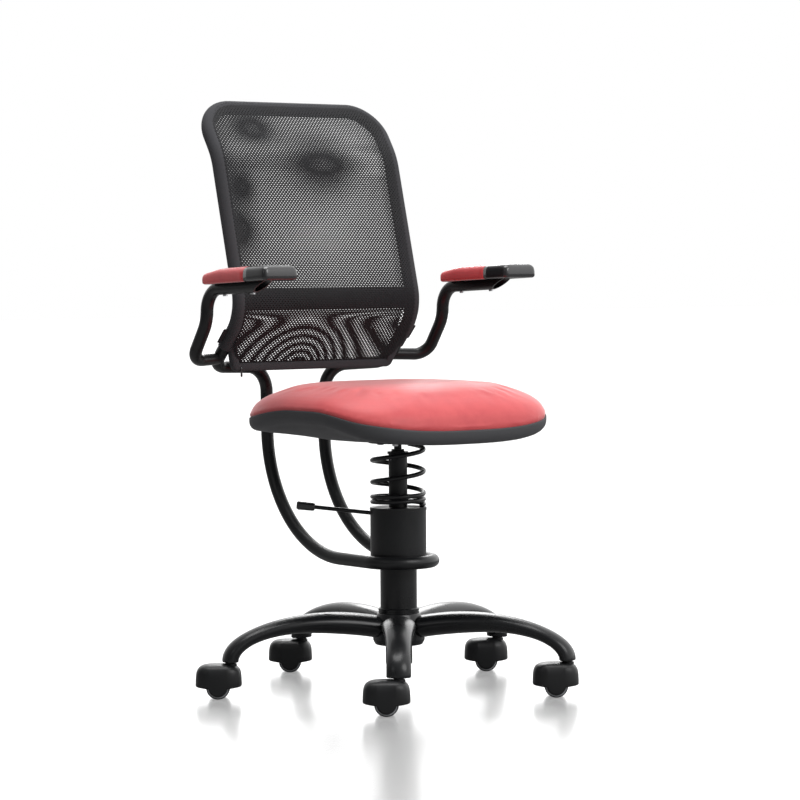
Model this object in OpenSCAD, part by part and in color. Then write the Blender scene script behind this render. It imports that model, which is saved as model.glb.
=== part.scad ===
// Swivel chair with a tilting seat on a coil spring, a mesh sleeve back and two arms.
// Millimetres. The floor is z = 0, the column stands on the origin, the sitter looks along -Y.

/* [Base] */
// Distance of the castor stems from the column axis
stem_circle_r = 299; // [270:1:340]
// Heading of the first leg, degrees
first_leg_turn = 233; // [0:1:359]
// Underside of the leg ends, above the floor
leg_end_z = 62; // [62:0.5:66]
// Highest point of the leg's middle line above the leg end
leg_arch_h = 58; // [40:1:70]
// Width of a leg at the hub
leg_root_w = 49; // [40:1:52]
// Width of a leg at the castor
leg_tip_w = 38; // [32:1:44]
// Depth of a leg at the hub
leg_root_h = 36; // [30:1:40]
// Depth of a leg at the castor
leg_tip_h = 27; // [24:1:32]
// Largest diameter of the hub
hub_d = 89; // [84:1:100]
// Height of the hub
hub_h = 54; // [50:1:62]
// Underside of the hub above the floor
hub_z = 78; // [74:1:84]

/* [Column] */
// Outside diameter of the fixed column
column_d = 63; // [60:1:68]
// Wall of the fixed column
column_wall = 4; // [2:0.5:6]
// Top of the fixed column
column_top_z = 214; // [200:1:216]
// Outside diameter of the gas spring tube
gas_d = 28; // [25:0.5:32]
// Wall of the gas spring tube
gas_wall = 2; // [1.5:0.25:3]
// Diameter of the piston rod
rod_d = 10; // [8:0.5:12]
// Travel of the lift below the height shown
lift_down = 50; // [20:1:50]

/* [Housing] */
// Outside diameter of the lift housing
housing_d = 96; // [94:1:110]
// Wall of the lift housing
housing_wall = 2.5; // [2:0.25:4]
// Underside of the lift housing
housing_z = 212; // [205:1:214]
// Top of the housing's top plate
housing_top_z = 314; // [310:1:325]
// Thickness of the housing's top plate
top_plate_t = 5; // [3:0.5:8]

/* [Spring] */
// Wire diameter of the coil spring
wire_d = 8; // [6:0.25:8.5]
// Outside diameter of the coil spring
spring_d = 96; // [88:1:100]
// Number of open turns
open_turns = 2.25; // [1.75:0.25:3]
// Number of close turns at the bottom
close_turns = 2; // [1:1:3]
// Clear gap between the close turns
close_gap = 0.6; // [0.5:0.1:1.5]
// Outside diameter of the guide tube inside the spring
guide_d = 32; // [30:1:36]
// Height of the guide tube
guide_h = 95; // [90:1:98]

/* [Frame tube] */
// Outside diameter of all frame tubes
tube_d = 22; // [20:0.5:25]
// Wall of all frame tubes
tube_wall = 2; // [1.5:0.25:3]
// Height of the loop round the housing
loop_z = 222; // [218:1:228]
// Distance of the risers behind the column
riser_y = 305; // [290:1:330]
// Bend radius at the foot of the risers
riser_bend_r = 214; // [150:1:214]
// Height of the run behind the sleeve's hem
flare_z = 548; // [535:1:560]

/* [Back] */
// Distance between the middle lines of the two back uprights
back_w = 374; // [340:2:400]
// Height of the middle line of the back's top tube
back_top_z = 1006; // [900:1:1080]
// Height of the lumbar corner
lumbar_z = 645; // [635:1:660]
// Distance of the lumbar corner behind the column
lumbar_y = 195; // [185:1:205]
// Recline of the upper back, degrees
recline = 14.6; // [8:0.1:20]
// Height from the bend under the curled top up to the top tube
curl_drop = 86; // [80:1:110]
// Lean of the curled top, degrees
curl_lean = 33.5; // [20:0.5:36]
// Bend radius under the curled top
curl_bend_r = 120; // [80:5:120]
// Lean of the back below the lumbar corner, degrees
lower_lean = 44; // [38:0.5:48]
// Bend radius at the lumbar corner
lumbar_bend_r = 75; // [50:1:80]
// Bend radius at the two top corners
top_bend_r = 61; // [40:1:76]
// Thickness of the mesh cloth
mesh_t = 1.2; // [0.8:0.1:2]
// Height of the lumbar belt
belt_h = 38; // [25:1:50]

/* [Arms] */
// Distance between the middle lines of the two arms
arm_span = 510; // [490:2:560]
// Length of an arm pad with its cap
pad_l = 192; // [160:1:220]
// Width of an arm pad
pad_w = 70; // [60:1:76]
// Thickness of an arm pad
pad_t = 26; // [22:1:34]
// Slope of the arm pads down to the rear, degrees
arm_slope = 2.4; // [0:0.1:4]
// Underside of the arm pads at the front end of their tubes
pad_z = 703; // [690:1:730]
// Distance of the pad's rear end behind the column
pad_rear_y = 168; // [160:1:180]
// Length of the black front cap
cap_l = 63; // [40:1:90]

/* [Seat] */
// Width of the seat
seat_w = 450; // [400:5:480]
// Depth of the seat
seat_d = 412; // [390:2:430]
// Highest point of the cushion
seat_top_z = 528; // [515:1:560]
// Height of the seat's rim at the back
rim_rear_z = 465; // [462:1:472]
// Height of the seat's rim beside the thighs
rim_side_z = 487; // [480:1:490]
// Height of the seat's rim in the middle of the front
rim_front_z = 454; // [453:1:466]
// How much of that drop the rim's front corners are spared
corner_lift = 0.69; // [0:0.01:0.8]
// Height of the lower shell's side
shell_side_h = 24.5; // [20:0.5:26]
// Wall of the lower shell
shell_wall = 2.5; // [2:0.25:3.5]

/* [Castors] */
// Diameter of the castor wheels
wheel_d = 40; // [36:1:40]
// Width of one castor wheel
wheel_w = 19; // [14:0.5:20]
// Diameter of the castor hood
hood_d = 78; // [74:1:84]
// Top of the castor hood
hood_top_z = 58; // [56:0.5:58]
// Width of the castor hood across its cheeks
hood_w = 60; // [56:0.5:64]
// Distance from the stem to the wheel axle
trail = 20; // [16:0.5:24]
// Heading that the castors trail towards, degrees
trail_turn = 143; // [0:1:359]
// Diameter of the castor stems
stem_d = 11; // [9:0.5:11]
// Diameter of the wheel axles
axle_d = 6; // [5:0.5:8]

/* [Hidden] */
BLACK = [0.09, 0.09, 0.1];
GREY = [0.22, 0.22, 0.23];
RED = [0.78, 0.2, 0.22];
STEEL = [0.6, 0.61, 0.63];
$fn = 64;
// Gap between pieces that lie against each other
seat_gap = 0.3;
// Running clearance round a shaft, on the radius
run_gap = 0.05;

// Lengths of the base
leg_arch_r = stem_circle_r / 2;
leg_root_r = 32;
leg_root_drop = 12;
column_r = column_d / 2;
column_foot_z = 45;
column_foot_r = 23;
hub_top_z = hub_z + hub_h;
hub_neck_r = 36;
collar_h = 9;
rod_foot_z = column_foot_z + 4;
bearing_h = 4;
bush_h = 24;
bush_lip = 2;

// Lengths of the gas spring
gas_r = gas_d / 2;
gas_foot_z = rod_foot_z + bearing_h + lift_down + 2;
gas_top_z = column_top_z + lift_down + 26;
rod_r = rod_d / 2;
piston_h = 8;
rod_top_z = gas_top_z - gas_wall - 2 - lift_down - 4;
pin_r = 3;
pin_proud = 5;
block_z = column_top_z + bush_lip + lift_down + 1;
block_h = gas_top_z - block_z;

// Lengths of the housing, the guide tube and the seat's pivot
housing_r = housing_d / 2;
plate_z = housing_top_z - top_plate_t;
guide_r = guide_d / 2;
guide_wall = 3;
guide_top_z = housing_top_z + guide_h;
pivot_z = guide_top_z - 12;
pivot_pin_r = 3;
cross_half = 5.5;
yoke_ear_t = 4;
yoke_r = 9.5;
seat_rod_r = 6.5;

// Lengths of the spring
wire_r = wire_d / 2;
spring_r = spring_d / 2 - wire_r;
close_pitch = wire_d + close_gap;
spring_foot_z = housing_top_z + seat_gap + wire_r;
seat_plate_z = 424;
spring_head_z = seat_plate_z - seat_gap - wire_r;
open_pitch = (spring_head_z - spring_foot_z - close_turns * close_pitch) / open_turns;
RINGS_PER_TURN = 24;
WIRE_SIDES = 6;
spring_first_turn = 298;

// Lengths of the tubes
tube_r = tube_d / 2;
bore_r = tube_r - tube_wall;
loop_r = housing_r + tube_r + seat_gap;
riser_x = 64;
flare_y = 303;
corner_z = 552;
back_x = back_w / 2;
lower_slope = tan(lower_lean);
upper_slope = tan(recline);
curl_slope = tan(curl_lean);
curl_z = back_top_z - curl_drop;
joint_z = 600;
flare_bend_r = 45;
corner_bend_r = 26;
function lower_y(z) = lumbar_y + (lumbar_z - z) * lower_slope;
function upper_y(z) = lumbar_y + (min(z, curl_z) - lumbar_z) * upper_slope
    + max(0, z - curl_z) * curl_slope;

// Sleeve
edge_gap = 0.3;
edge_r = tube_r + edge_gap + mesh_t;
sleeve_foot_z = 588;
hem_z = 558;
hem_y = 252;
hem_half_w = 163;
hem_h = 12;
panel_half_w = back_x - 6.5;

// Arms
arm_x = arm_span / 2;
arm_z = pad_z + 4 - tube_r;
arm_front_y = pad_rear_y - pad_l + 38;
arm_top_y = 200;
board_t = 7;
board_inset = 5;
pad_corner_r = 8;
pad_dip = 5;
pad_dip_l = 45;
// Larger than any part of the chair, for blocks that cut
reach = 800;

// Seat
half_w = seat_w / 2;
half_d = seat_d / 2;
PLAN_POWER = 3.8;
PLAN_POINTS = 48;
board_h = 10;
bolt_r = 3;

// Castors
axle_z = wheel_d / 2;
axle_r = axle_d / 2;
stem_r = stem_d / 2;
stem_in_leg = 11;
web_half = 5;
wheel_gap = 0.6;
socket_r = stem_r + run_gap + 2.4;
socket_flange_r = 10;
socket_flange_t = 1;
lobe_r = 14.7;
skirt_z = 16;

function unit(v) = v / norm(v);
function smooth(t) = let(u = min(1, max(0, t))) u * u * (3 - 2 * u);

// A closed skin over rings that all have the same number of points
module loft(rings) {
    n = len(rings[0]);
    m = len(rings);
    function middle(ring) = sum(ring) / len(ring);
    function sum(list, i = 0) = i == len(list) - 1 ? list[i] : list[i] + sum(list, i + 1);
    points = concat([for (ring = rings) each ring], [middle(rings[0]), middle(rings[m - 1])]);
    sides = [for (i = [0:m - 2], j = [0:n - 1])
        let(a = i * n + j, b = i * n + (j + 1) % n)
        each [[a, b, b + n], [a, b + n, a + n]]];
    foot = [for (j = [0:n - 1]) [m * n, (j + 1) % n, j]];
    head = [for (j = [0:n - 1]) [m * n + 1, (m - 1) * n + j, (m - 1) * n + (j + 1) % n]];
    polyhedron(points, [for (f = concat(sides, foot, head)) [f[2], f[1], f[0]]], convexity = 6);
}

// Section of a tube, solid where the inner radius is zero
module tube_section(outer, inner) {
    difference() {
        circle(outer);
        if (inner > 0) circle(inner);
    }
}

function turn(a, b, c) = acos(max(-1, min(1, unit(b - a) * unit(c - b))));
function setback(points, bends, i) = (i == 0 || i == len(points) - 1) ? 0
    : bends[i] * tan(turn(points[i - 1], points[i], points[i + 1]) / 2);

// Each straight run of a tube laps this far into the bends beside it
bend_lap = 0.5;
// The wall of a bend stands this much proud, so that the joints close
bend_hair = 0.05;

// A tube bent round the corners of a line of points
module bent_tube(points, bends, outer, inner) {
    for (i = [0:len(points) - 2]) {
        way = unit(points[i + 1] - points[i]);
        from = points[i] + way * (setback(points, bends, i) - (i > 0 ? bend_lap : 0));
        to = points[i + 1] - way * (setback(points, bends, i + 1)
            - (i < len(points) - 2 ? bend_lap : 0));
        length = (to - from) * way;
        if (length > 3 * bend_lap)
            translate(from) rotate([0, acos(way[2]), atan2(way[1], way[0])])
                linear_extrude(length) tube_section(outer, inner);
    }
    for (i = [1:len(points) - 2]) {
        ahead = unit(points[i] - points[i - 1]);
        after = unit(points[i + 1] - points[i]);
        inward = unit(after - ahead * (ahead * after));
        start = points[i] - ahead * setback(points, bends, i);
        centre = start + inward * bends[i];
        out = -inward;
        up = cross(out, ahead);
        multmatrix([[out[0], ahead[0], up[0], centre[0]],
                    [out[1], ahead[1], up[1], centre[1]],
                    [out[2], ahead[2], up[2], centre[2]],
                    [0, 0, 0, 1]])
            rotate_extrude(angle = turn(points[i - 1], points[i], points[i + 1]))
                translate([bends[i], 0])
                    tube_section(outer + bend_hair, inner > 0 ? inner - bend_hair : 0);
    }
}

module ring_at(z, height, outer, inner) {
    translate([0, 0, z]) linear_extrude(height) tube_section(outer, inner);
}

module bar_along_x(y, z, radius, length) {
    translate([-length / 2, y, z]) rotate([0, 90, 0]) cylinder(h = length, r = radius);
}

module bar_along_y(x, z, radius, length) {
    translate([x, -length / 2, z]) rotate([-90, 0, 0]) cylinder(h = length, r = radius);
}

// Hub: a bell with a domed shoulder
module hub_solid(grow) {
    rotate_extrude() polygon([[0, hub_z], [hub_neck_r + grow, hub_z - grow],
        [hub_d / 2 - 3 + grow, hub_z + 4], [hub_d / 2 + grow, hub_z + 12],
        [hub_d / 2 + grow, hub_z + 30], [hub_d / 2 - 2 + grow, hub_z + 40],
        [hub_neck_r + 2 + grow, hub_top_z - 4], [hub_neck_r + grow, hub_top_z + grow],
        [0, hub_top_z + grow]]);
}

module base_hub() {
    color(BLACK) difference() {
        hub_solid(0);
        translate([0, 0, hub_z - 1]) cylinder(h = 20, r = column_foot_r + seat_gap);
        translate([0, 0, hub_z + 18.9]) cylinder(h = hub_h, r = column_r + seat_gap);
    }
}

// Middle line of a leg: out along a shallow rise, then down a quarter ellipse
function leg_middle(t) = t < 0.4
    ? let(r = leg_root_r + (leg_arch_r - leg_root_r) * t / 0.4,
          u = (leg_arch_r - r) / (leg_arch_r - leg_root_r))
      [r, leg_end_z + leg_arch_h - leg_root_drop * u * u]
    : let(a = 90 * (1 - (t - 0.4) / 0.6))
      [leg_arch_r + (stem_circle_r - leg_arch_r) * cos(a), leg_end_z + leg_arch_h * sin(a)];
LEG_STEPS = 20;
LEG_SIDES = 20;
// The nose of a leg closes in three rings against the hub
NOSE = [0.45, 0.8, 0.96];

module leg_solid() {
    rings = [for (i = [0:LEG_STEPS])
        let(t = i / LEG_STEPS,
            p = leg_middle(t),
            q = leg_middle(min(1, t + 0.01)) - leg_middle(max(0, t - 0.01)),
            way = i == LEG_STEPS ? [0, -1] : unit(q),
            s = smooth(p[0] / stem_circle_r * 1.3),
            size = i < len(NOSE) ? NOSE[i] : 1,
            w = (leg_root_w + (leg_tip_w - leg_root_w) * s) / 2 * size,
            h = (leg_root_h + (24 - leg_root_h) * s
                 + (leg_tip_h - 24) * smooth((t - 0.7) / 0.3)) / 2 * size)
        [for (k = [0:LEG_SIDES - 1])
            let(a = 360 * k / LEG_SIDES,
                side = w * sign(cos(a)) * pow(abs(cos(a)), 0.85),
                rise = h * sign(sin(a)) * pow(abs(sin(a)), 0.85))
            [p[0] - way[1] * rise, side, p[1] + way[0] * rise]]];
    loft(rings);
}

module base_leg(k) {
    color(BLACK) rotate([0, 0, first_leg_turn + 72 * (k - 1)]) difference() {
        leg_solid();
        hub_solid(seat_gap);
        translate([stem_circle_r, 0, leg_end_z - 1])
            cylinder(h = stem_in_leg + 2, r = socket_r + run_gap);
    }
}

module castor_sockets() {
    color(GREY) for (k = [0:4]) rotate([0, 0, first_leg_turn + 72 * k])
        translate([stem_circle_r, 0, 0]) {
            ring_at(leg_end_z - socket_flange_t - 0.05, socket_flange_t, socket_flange_r,
                stem_r + run_gap);
            ring_at(leg_end_z - 0.05, stem_in_leg, socket_r, stem_r + run_gap);
        }
}

module hub_collar() {
    lip = column_r + 3.5;
    color(BLACK) rotate_extrude() polygon([[column_r + seat_gap, hub_top_z + seat_gap],
        [lip, hub_top_z + seat_gap], [lip, hub_top_z + 3], [lip - 1, hub_top_z + 3.3],
        [lip - 1, hub_top_z + 4.2], [lip, hub_top_z + 4.5], [lip, hub_top_z + 6.6],
        [lip - 1, hub_top_z + 6.9], [lip - 1, hub_top_z + 7.8], [lip, hub_top_z + 8.1],
        [lip - 1, hub_top_z + collar_h], [column_r + seat_gap, hub_top_z + collar_h]]);
}

// Fixed column, stepped down to its foot inside the hub, open at the top
module column_tube() {
    step_z = hub_z + 19;
    inner = column_r - column_wall;
    color(BLACK) rotate_extrude() polygon([[rod_r + 1, column_foot_z],
        [column_foot_r, column_foot_z], [column_foot_r, step_z], [column_r, step_z],
        [column_r, column_top_z], [inner, column_top_z], [inner, step_z + 4],
        [column_foot_r - 3, step_z + 4], [column_foot_r - 3, rod_foot_z],
        [rod_r + 1, rod_foot_z]]);
}

module guide_bush() {
    inner = column_r - column_wall - seat_gap;
    color(GREY) rotate_extrude() polygon([[gas_r + run_gap, column_top_z - bush_h],
        [inner, column_top_z - bush_h], [inner, column_top_z + 0.1],
        [column_r - 1, column_top_z + 0.1], [column_r - 2, column_top_z + bush_lip],
        [gas_r + run_gap, column_top_z + bush_lip]]);
}

module thrust_bearing() {
    color(STEEL) ring_at(rod_foot_z + 0.1, bearing_h - 0.1, column_foot_r - 3.3, rod_r + run_gap);
}

// Rod that turns on the bearing, its foot plate below and its piston at the top
module piston_rod() {
    color(STEEL) {
        translate([0, 0, column_foot_z - 1]) cylinder(h = rod_top_z - column_foot_z + 1, r = rod_r);
        translate([0, 0, rod_top_z - piston_h]) cylinder(h = piston_h, r = gas_r - gas_wall - 0.1);
        ring_at(rod_foot_z + bearing_h + 0.1, 1.5, rod_r + 4, 0);
    }
}

module gas_tube() {
    bore = gas_r - gas_wall;
    color(STEEL) rotate_extrude() polygon([[rod_r + run_gap, gas_foot_z], [gas_r, gas_foot_z],
        [gas_r, gas_top_z], [pin_r + run_gap, gas_top_z], [pin_r + run_gap, gas_top_z - gas_wall],
        [bore, gas_top_z - gas_wall], [bore, gas_foot_z + 6], [rod_r + run_gap, gas_foot_z + 6]]);
}

// Small button that the lever pushes down to free the lift
module valve_pin() {
    color(STEEL) translate([0, 0, gas_top_z - gas_wall - 1.5])
        cylinder(h = gas_wall + 1.5 + pin_proud, r = pin_r);
}

module taper_block() {
    color(GREY) ring_at(block_z, block_h, housing_r - housing_wall - seat_gap, gas_r + seat_gap / 6);
}

module lift_housing() {
    color(BLACK) difference() {
        ring_at(housing_z, plate_z - 0.1 - housing_z, housing_r, housing_r - housing_wall);
        rotate([0, 0, lever_turn]) translate([housing_r - 10, -lever_r - 1, lever_z(housing_r) - 8])
            cube([20, 2 * lever_r + 2, 16]);
    }
}

module housing_top_plate() {
    color(BLACK) translate([0, 0, plate_z]) difference() {
        cylinder(h = top_plate_t, r = housing_r + 0.8);
        translate([0, 0, -1]) cylinder(h = top_plate_t + 2, r = guide_r - guide_wall);
    }
}

module guide_tube() {
    color(BLACK) difference() {
        union() {
            ring_at(housing_top_z + 0.1, guide_h - 0.1, guide_r, guide_r - guide_wall);
            ring_at(guide_top_z - 4, 4, guide_r + 2, guide_r - guide_wall);
        }
        bar_along_x(0, pivot_z, pivot_pin_r + run_gap, 3 * guide_r);
    }
}

// One unbroken wire: close turns, then open turns up to the seat plate
function spring_z(turns) = turns <= close_turns ? spring_foot_z + close_pitch * turns
    : spring_foot_z + close_pitch * close_turns + open_pitch * (turns - close_turns);
function spring_point(turns) = let(a = spring_first_turn + 360 * turns)
    [spring_r * cos(a), spring_r * sin(a), spring_z(turns)];
SPRING_TURNS = close_turns + open_turns;
SPRING_RINGS = round(SPRING_TURNS * RINGS_PER_TURN);
// Least distance between wire surfaces one turn apart
spring_self_gap = min([for (i = [0:SPRING_RINGS - RINGS_PER_TURN])
    norm(spring_point((i + RINGS_PER_TURN) / RINGS_PER_TURN) - spring_point(i / RINGS_PER_TURN))])
    - wire_d;
echo(str("least gap between spring turns: ", spring_self_gap, " mm"));

module seat_spring() {
    rings = [for (i = [0:SPRING_RINGS])
        let(t = i / RINGS_PER_TURN,
            p = spring_point(t),
            way = unit(spring_point(t + 0.01) - spring_point(t - 0.01)),
            out = unit([p[0], p[1], 0]),
            up = cross(way, out))
        [for (k = [0:WIRE_SIDES - 1]) p + wire_r * (out * cos(60 * k) + up * sin(60 * k))]];
    color(BLACK) loft([for (i = [len(rings) - 1:-1:0]) rings[i]]);
}

// Points of the frame tube from one back upright round the housing to the other
frame_side = [[-back_x, lower_y(joint_z), joint_z], [-back_x, lower_y(corner_z), corner_z],
    [-riser_x, flare_y, flare_z], [-loop_r, riser_y, loop_z], [-loop_r, -loop_r, loop_z]];
function across(points) = [for (i = [len(points) - 1:-1:0])
    [-points[i][0], points[i][1], points[i][2]]];
function back_again(values) = [for (i = [len(values) - 1:-1:0]) values[i]];
frame_bends = [0, corner_bend_r, flare_bend_r, riser_bend_r, loop_r];

module frame_tube() {
    color(BLACK) bent_tube(concat(frame_side, across(frame_side)),
        concat(frame_bends, back_again(frame_bends)), tube_r, bore_r);
}

module back_run(foot_z, outer, inner) {
    side = [[-back_x, lower_y(foot_z), foot_z], [-back_x, lumbar_y, lumbar_z],
        [-back_x, upper_y(curl_z), curl_z], [-back_x, upper_y(back_top_z), back_top_z]];
    bends = [0, lumbar_bend_r, curl_bend_r, top_bend_r];
    bent_tube(concat(side, across(side)), concat(bends, back_again(bends)), outer, inner);
}

module back_frame() {
    color(BLACK) back_run(joint_z, tube_r, bore_r);
}

// Cloth that wraps the tube, with a small label tab at each lower corner
module sleeve_edge() {
    tab = [9, 1.5, 34];
    tab_z = sleeve_foot_z + 19;
    color(BLACK) {
        back_run(sleeve_foot_z, edge_r, tube_r + edge_gap);
        for (side = [-1, 1])
            translate([side * (back_x + edge_r + tab[0] / 2 - 0.4), lower_y(tab_z), tab_z])
                rotate([lower_lean, 0, 0]) cube(tab, center = true);
    }
}

// Side view of the sleeve: down the curled top, round both bends, then to the hem. A bend's centre
// lies behind its corner, halfway between the leans before and after it
function bend_centre(y, z, radius, low_lean, high_lean) = let(mid = (low_lean + high_lean) / 2)
    [y, z] + [cos(mid), -sin(mid)] * radius / cos((high_lean - low_lean) / 2);
function bend_arc(centre, radius, high_lean, low_lean, steps) = [for (i = [0:steps])
    let(a = high_lean + (low_lean - high_lean) * i / steps) centre - radius * [cos(a), -sin(a)]];
lumbar_centre = bend_centre(lumbar_y, lumbar_z, lumbar_bend_r, -lower_lean, recline);
curl_centre = bend_centre(upper_y(curl_z), curl_z, curl_bend_r, recline, curl_lean);
function panel_path(inset, low_turn, foot) =
    let(curl = bend_arc(curl_centre, curl_bend_r - inset, curl_lean, recline, 4),
        rise = back_top_z + 20 - curl[0][1],
        top = curl[0] + [rise * curl_slope, rise])
    concat([top], curl, bend_arc(lumbar_centre, lumbar_bend_r - inset, recline, low_turn, 8), [foot]);
module panel_sheet(inset, low_turn, foot_y, thickness, half) {
    face = panel_path(inset - thickness / 2, low_turn, [foot_y - thickness / 2, hem_z]);
    rear = panel_path(inset + thickness / 2, low_turn, [foot_y + thickness / 2, hem_z]);
    translate([-half, 0, 0]) rotate([90, 0, 90]) linear_extrude(2 * half)
        polygon(concat(face, back_again(rear)));
}

// Front view of a mesh panel: round top corners, narrower below the lumbar bend where the panel
// passes between the tubes, and slanted lower corners
module panel_outline(inset, low_half) {
    top = back_top_z - (back_x - panel_half_w) * cos(curl_lean) - inset * sin(curl_lean);
    round_r = top_bend_r - (back_x - panel_half_w);
    corner = [for (i = [0:8]) let(a = 90 * i / 8)
        [panel_half_w - round_r + round_r * sin(a), top - round_r * cos(curl_lean) * (1 - cos(a))]];
    half = concat(corner, [[panel_half_w, lumbar_z + 8], [low_half, lumbar_z - 2],
        [low_half, hem_z + 38], [hem_half_w, hem_z]]);
    translate([0, reach / 2, 0]) rotate([90, 0, 0]) linear_extrude(reach)
        polygon(concat(half, [for (p = back_again(half)) [-p[0], p[1]]]));
}

module mesh_panel(inset, low_turn, foot_y, low_half) {
    intersection() {
        panel_sheet(inset, low_turn, foot_y, mesh_t, panel_half_w);
        panel_outline(inset, low_half);
    }
}
panel_inset = edge_r - mesh_t / 2;
front_low_turn = -35;
rear_low_turn = -24;

module mesh_front() {
    color(GREY) mesh_panel(-panel_inset, front_low_turn, hem_y - 5, panel_half_w);
}

module mesh_rear() {
    color(GREY) mesh_panel(panel_inset, rear_low_turn, hem_y + 5, back_x - tube_r - 2 * seat_gap);
}

// Zipped hem that closes the sleeve at the bottom, with its pull at the right end
module mesh_hem() {
    color(BLACK) {
        translate([-hem_half_w, hem_y - 7, hem_z - seat_gap - hem_h]) cube([2 * hem_half_w, 14, hem_h]);
        translate([4 - hem_half_w, hem_y - 9, hem_z - hem_h - 16]) cube([5, 2.2, 22]);
    }
}

module lumbar_belt() {
    belt_t = 1.5;
    belt_inset = 3.6 - edge_r;
    belt_half = back_x - sqrt(edge_r * edge_r - pow(abs(belt_inset) - belt_t / 2 - 0.05, 2)) - seat_gap;
    belt_z = lumbar_centre[1] + 4 - belt_h / 2;
    color(BLACK) intersection() {
        panel_sheet(belt_inset, -30, hem_y, belt_t, belt_half);
        translate([-back_w, 0, belt_z]) cube([2 * back_w, 500, belt_h]);
    }
}

// Right arm; the left arm is its mirror image
arm_line = [[-back_x, lower_y(567), 567], [-arm_x, 250, 565], [-arm_x, arm_top_y + 3, 632],
    [-arm_x, arm_top_y, arm_z - (arm_top_y - arm_front_y) * tan(arm_slope)],
    [-arm_x, arm_front_y, arm_z]];
arm_bends = [0, 30, 60, 40, 0];
screw_spots = [62, 146];
screw_r = 2;

// Tips what is drawn level about the front end of an arm's tube, the right one's for side 1
module arm_tipped(side = 1) {
    translate([-side * arm_x, arm_front_y, arm_z]) rotate([-arm_slope, 0, 0])
        translate([0, -arm_front_y, -arm_z]) children();
}

function on_side(points, side) = [for (p = points) [side * p[0], p[1], p[2]]];
module arm_tube(side) {
    color(BLACK) difference() {
        bent_tube(on_side(arm_line, side), arm_bends, tube_r, bore_r);
        bent_tube(on_side([for (i = [0:2]) frame_side[i]], side), [0, corner_bend_r, 0],
            tube_r + seat_gap, 0);
        arm_tipped(side) {
            translate([-tube_d, arm_front_y, arm_z + tube_r - 3]) rotate([-24, 0, 0])
                translate([0, -60, -60]) cube([2 * tube_d, 120, 60]);
            for (y = screw_spots) translate([0, y, arm_z - tube_d])
                cylinder(h = 2 * tube_d, r = screw_r + run_gap);
        }
    }
}

pad_mid_y = pad_rear_y - pad_l / 2;
CORNER_STEPS = 9;
function pad_ring(inset, z) = [for (q = [0:3], k = [0:CORNER_STEPS])
    let(a = 90 * (q + k / CORNER_STEPS),
        hx = pad_w / 2 - inset - pad_corner_r,
        hy = pad_l / 2 - inset - pad_corner_r,
        dx = hx * ((q == 0 || q == 3) ? 1 : -1) + pad_corner_r * cos(a),
        dy = hy * (q < 2 ? 1 : -1) + pad_corner_r * sin(a),
        dip = pad_dip * (z - pad_z) / pad_t * smooth((dy - pad_l / 2 + inset + pad_dip_l) / pad_dip_l))
    [dx, pad_mid_y + dy, z - dip]];

// Crowned pad, hollowed for its board and the tube below
module pad_solid() {
    difference() {
        loft([pad_ring(4, pad_z), pad_ring(0.6, pad_z + 2.5), pad_ring(0, pad_z + 6),
            pad_ring(0, pad_z + pad_t * 0.55), pad_ring(2, pad_z + pad_t * 0.78),
            pad_ring(7, pad_z + pad_t * 0.93), pad_ring(16, pad_z + pad_t - 0.4),
            pad_ring(25, pad_z + pad_t)]);
        board_block(seat_gap);
        arm_groove();
    }
}

module board_block(grow) {
    translate([-pad_w / 2 + board_inset - grow, pad_rear_y - pad_l + board_inset - grow, pad_z - 1])
        cube([pad_w - 2 * board_inset + 2 * grow, pad_l - 2 * board_inset + 2 * grow,
            board_t + 1 + grow]);
}

module arm_groove() {
    translate([0, arm_front_y - 6, arm_z]) rotate([-90, 0, 0])
        cylinder(h = pad_l, r = tube_r + seat_gap);
}

module arm_board() {
    color(BLACK) arm_tipped() difference() {
        intersection() {
            board_block(0);
            translate([-reach / 2, -reach / 2, pad_z]) cube([reach, reach, board_t]);
        }
        arm_groove();
        for (y = screw_spots) translate([0, y, pad_z])
            cylinder(h = board_t - 1, r = screw_r + run_gap);
    }
}

module arm_pad() {
    color(RED) arm_tipped() difference() {
        pad_solid();
        translate([-reach / 2, pad_rear_y - pad_l - 10, pad_z - 20]) cube([reach, cap_l + 10, 100]);
    }
}

module arm_cap() {
    color(BLACK) arm_tipped() difference() {
        pad_solid();
        translate([-reach / 2, pad_rear_y - pad_l + cap_l - seat_gap, pad_z - 20])
            cube([reach, pad_l, 100]);
    }
}

module left_of() {
    mirror([1, 0, 0]) children();
}
module arm_tube_right() arm_tube(1);
module arm_tube_left() arm_tube(-1);
module arm_board_right() arm_board();
module arm_board_left() left_of() arm_board();
module arm_pad_right() arm_pad();
module arm_pad_left() left_of() arm_pad();
module arm_cap_right() arm_cap();
module arm_cap_left() left_of() arm_cap();

module right_screws() {
    arm_tipped() for (y = screw_spots) translate([0, y, 0]) {
        translate([0, 0, arm_z - tube_r - 2.6]) cylinder(h = 2.4, r = 4);
        translate([0, 0, arm_z - tube_r - 0.3])
            cylinder(h = pad_z + board_t - 1.5 - arm_z + tube_r + 0.3, r = screw_r);
    }
}

module arm_screws() {
    color(STEEL) {
        right_screws();
        left_of() right_screws();
    }
}

// Lever, held on a pin inside the housing and pressing the valve pin with its inner end
lever_turn = 140;
lever_rise = 6;
lever_r = 3.5;
lever_pivot_r = 2.5;
lever_pivot_x = 30;
lever_axis_z = gas_top_z + pin_proud + lever_r + 0.2;
lever_end = 144;
grip_l = 31;
grip_r = 7.5;
function lever_z(r) = lever_axis_z + r * tan(lever_rise);
module lever_place() {
    rotate([0, 0, lever_turn]) translate([lever_pivot_x, 0, lever_z(lever_pivot_x)])
        rotate([0, 90 - lever_rise, 0]) children();
}

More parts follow.
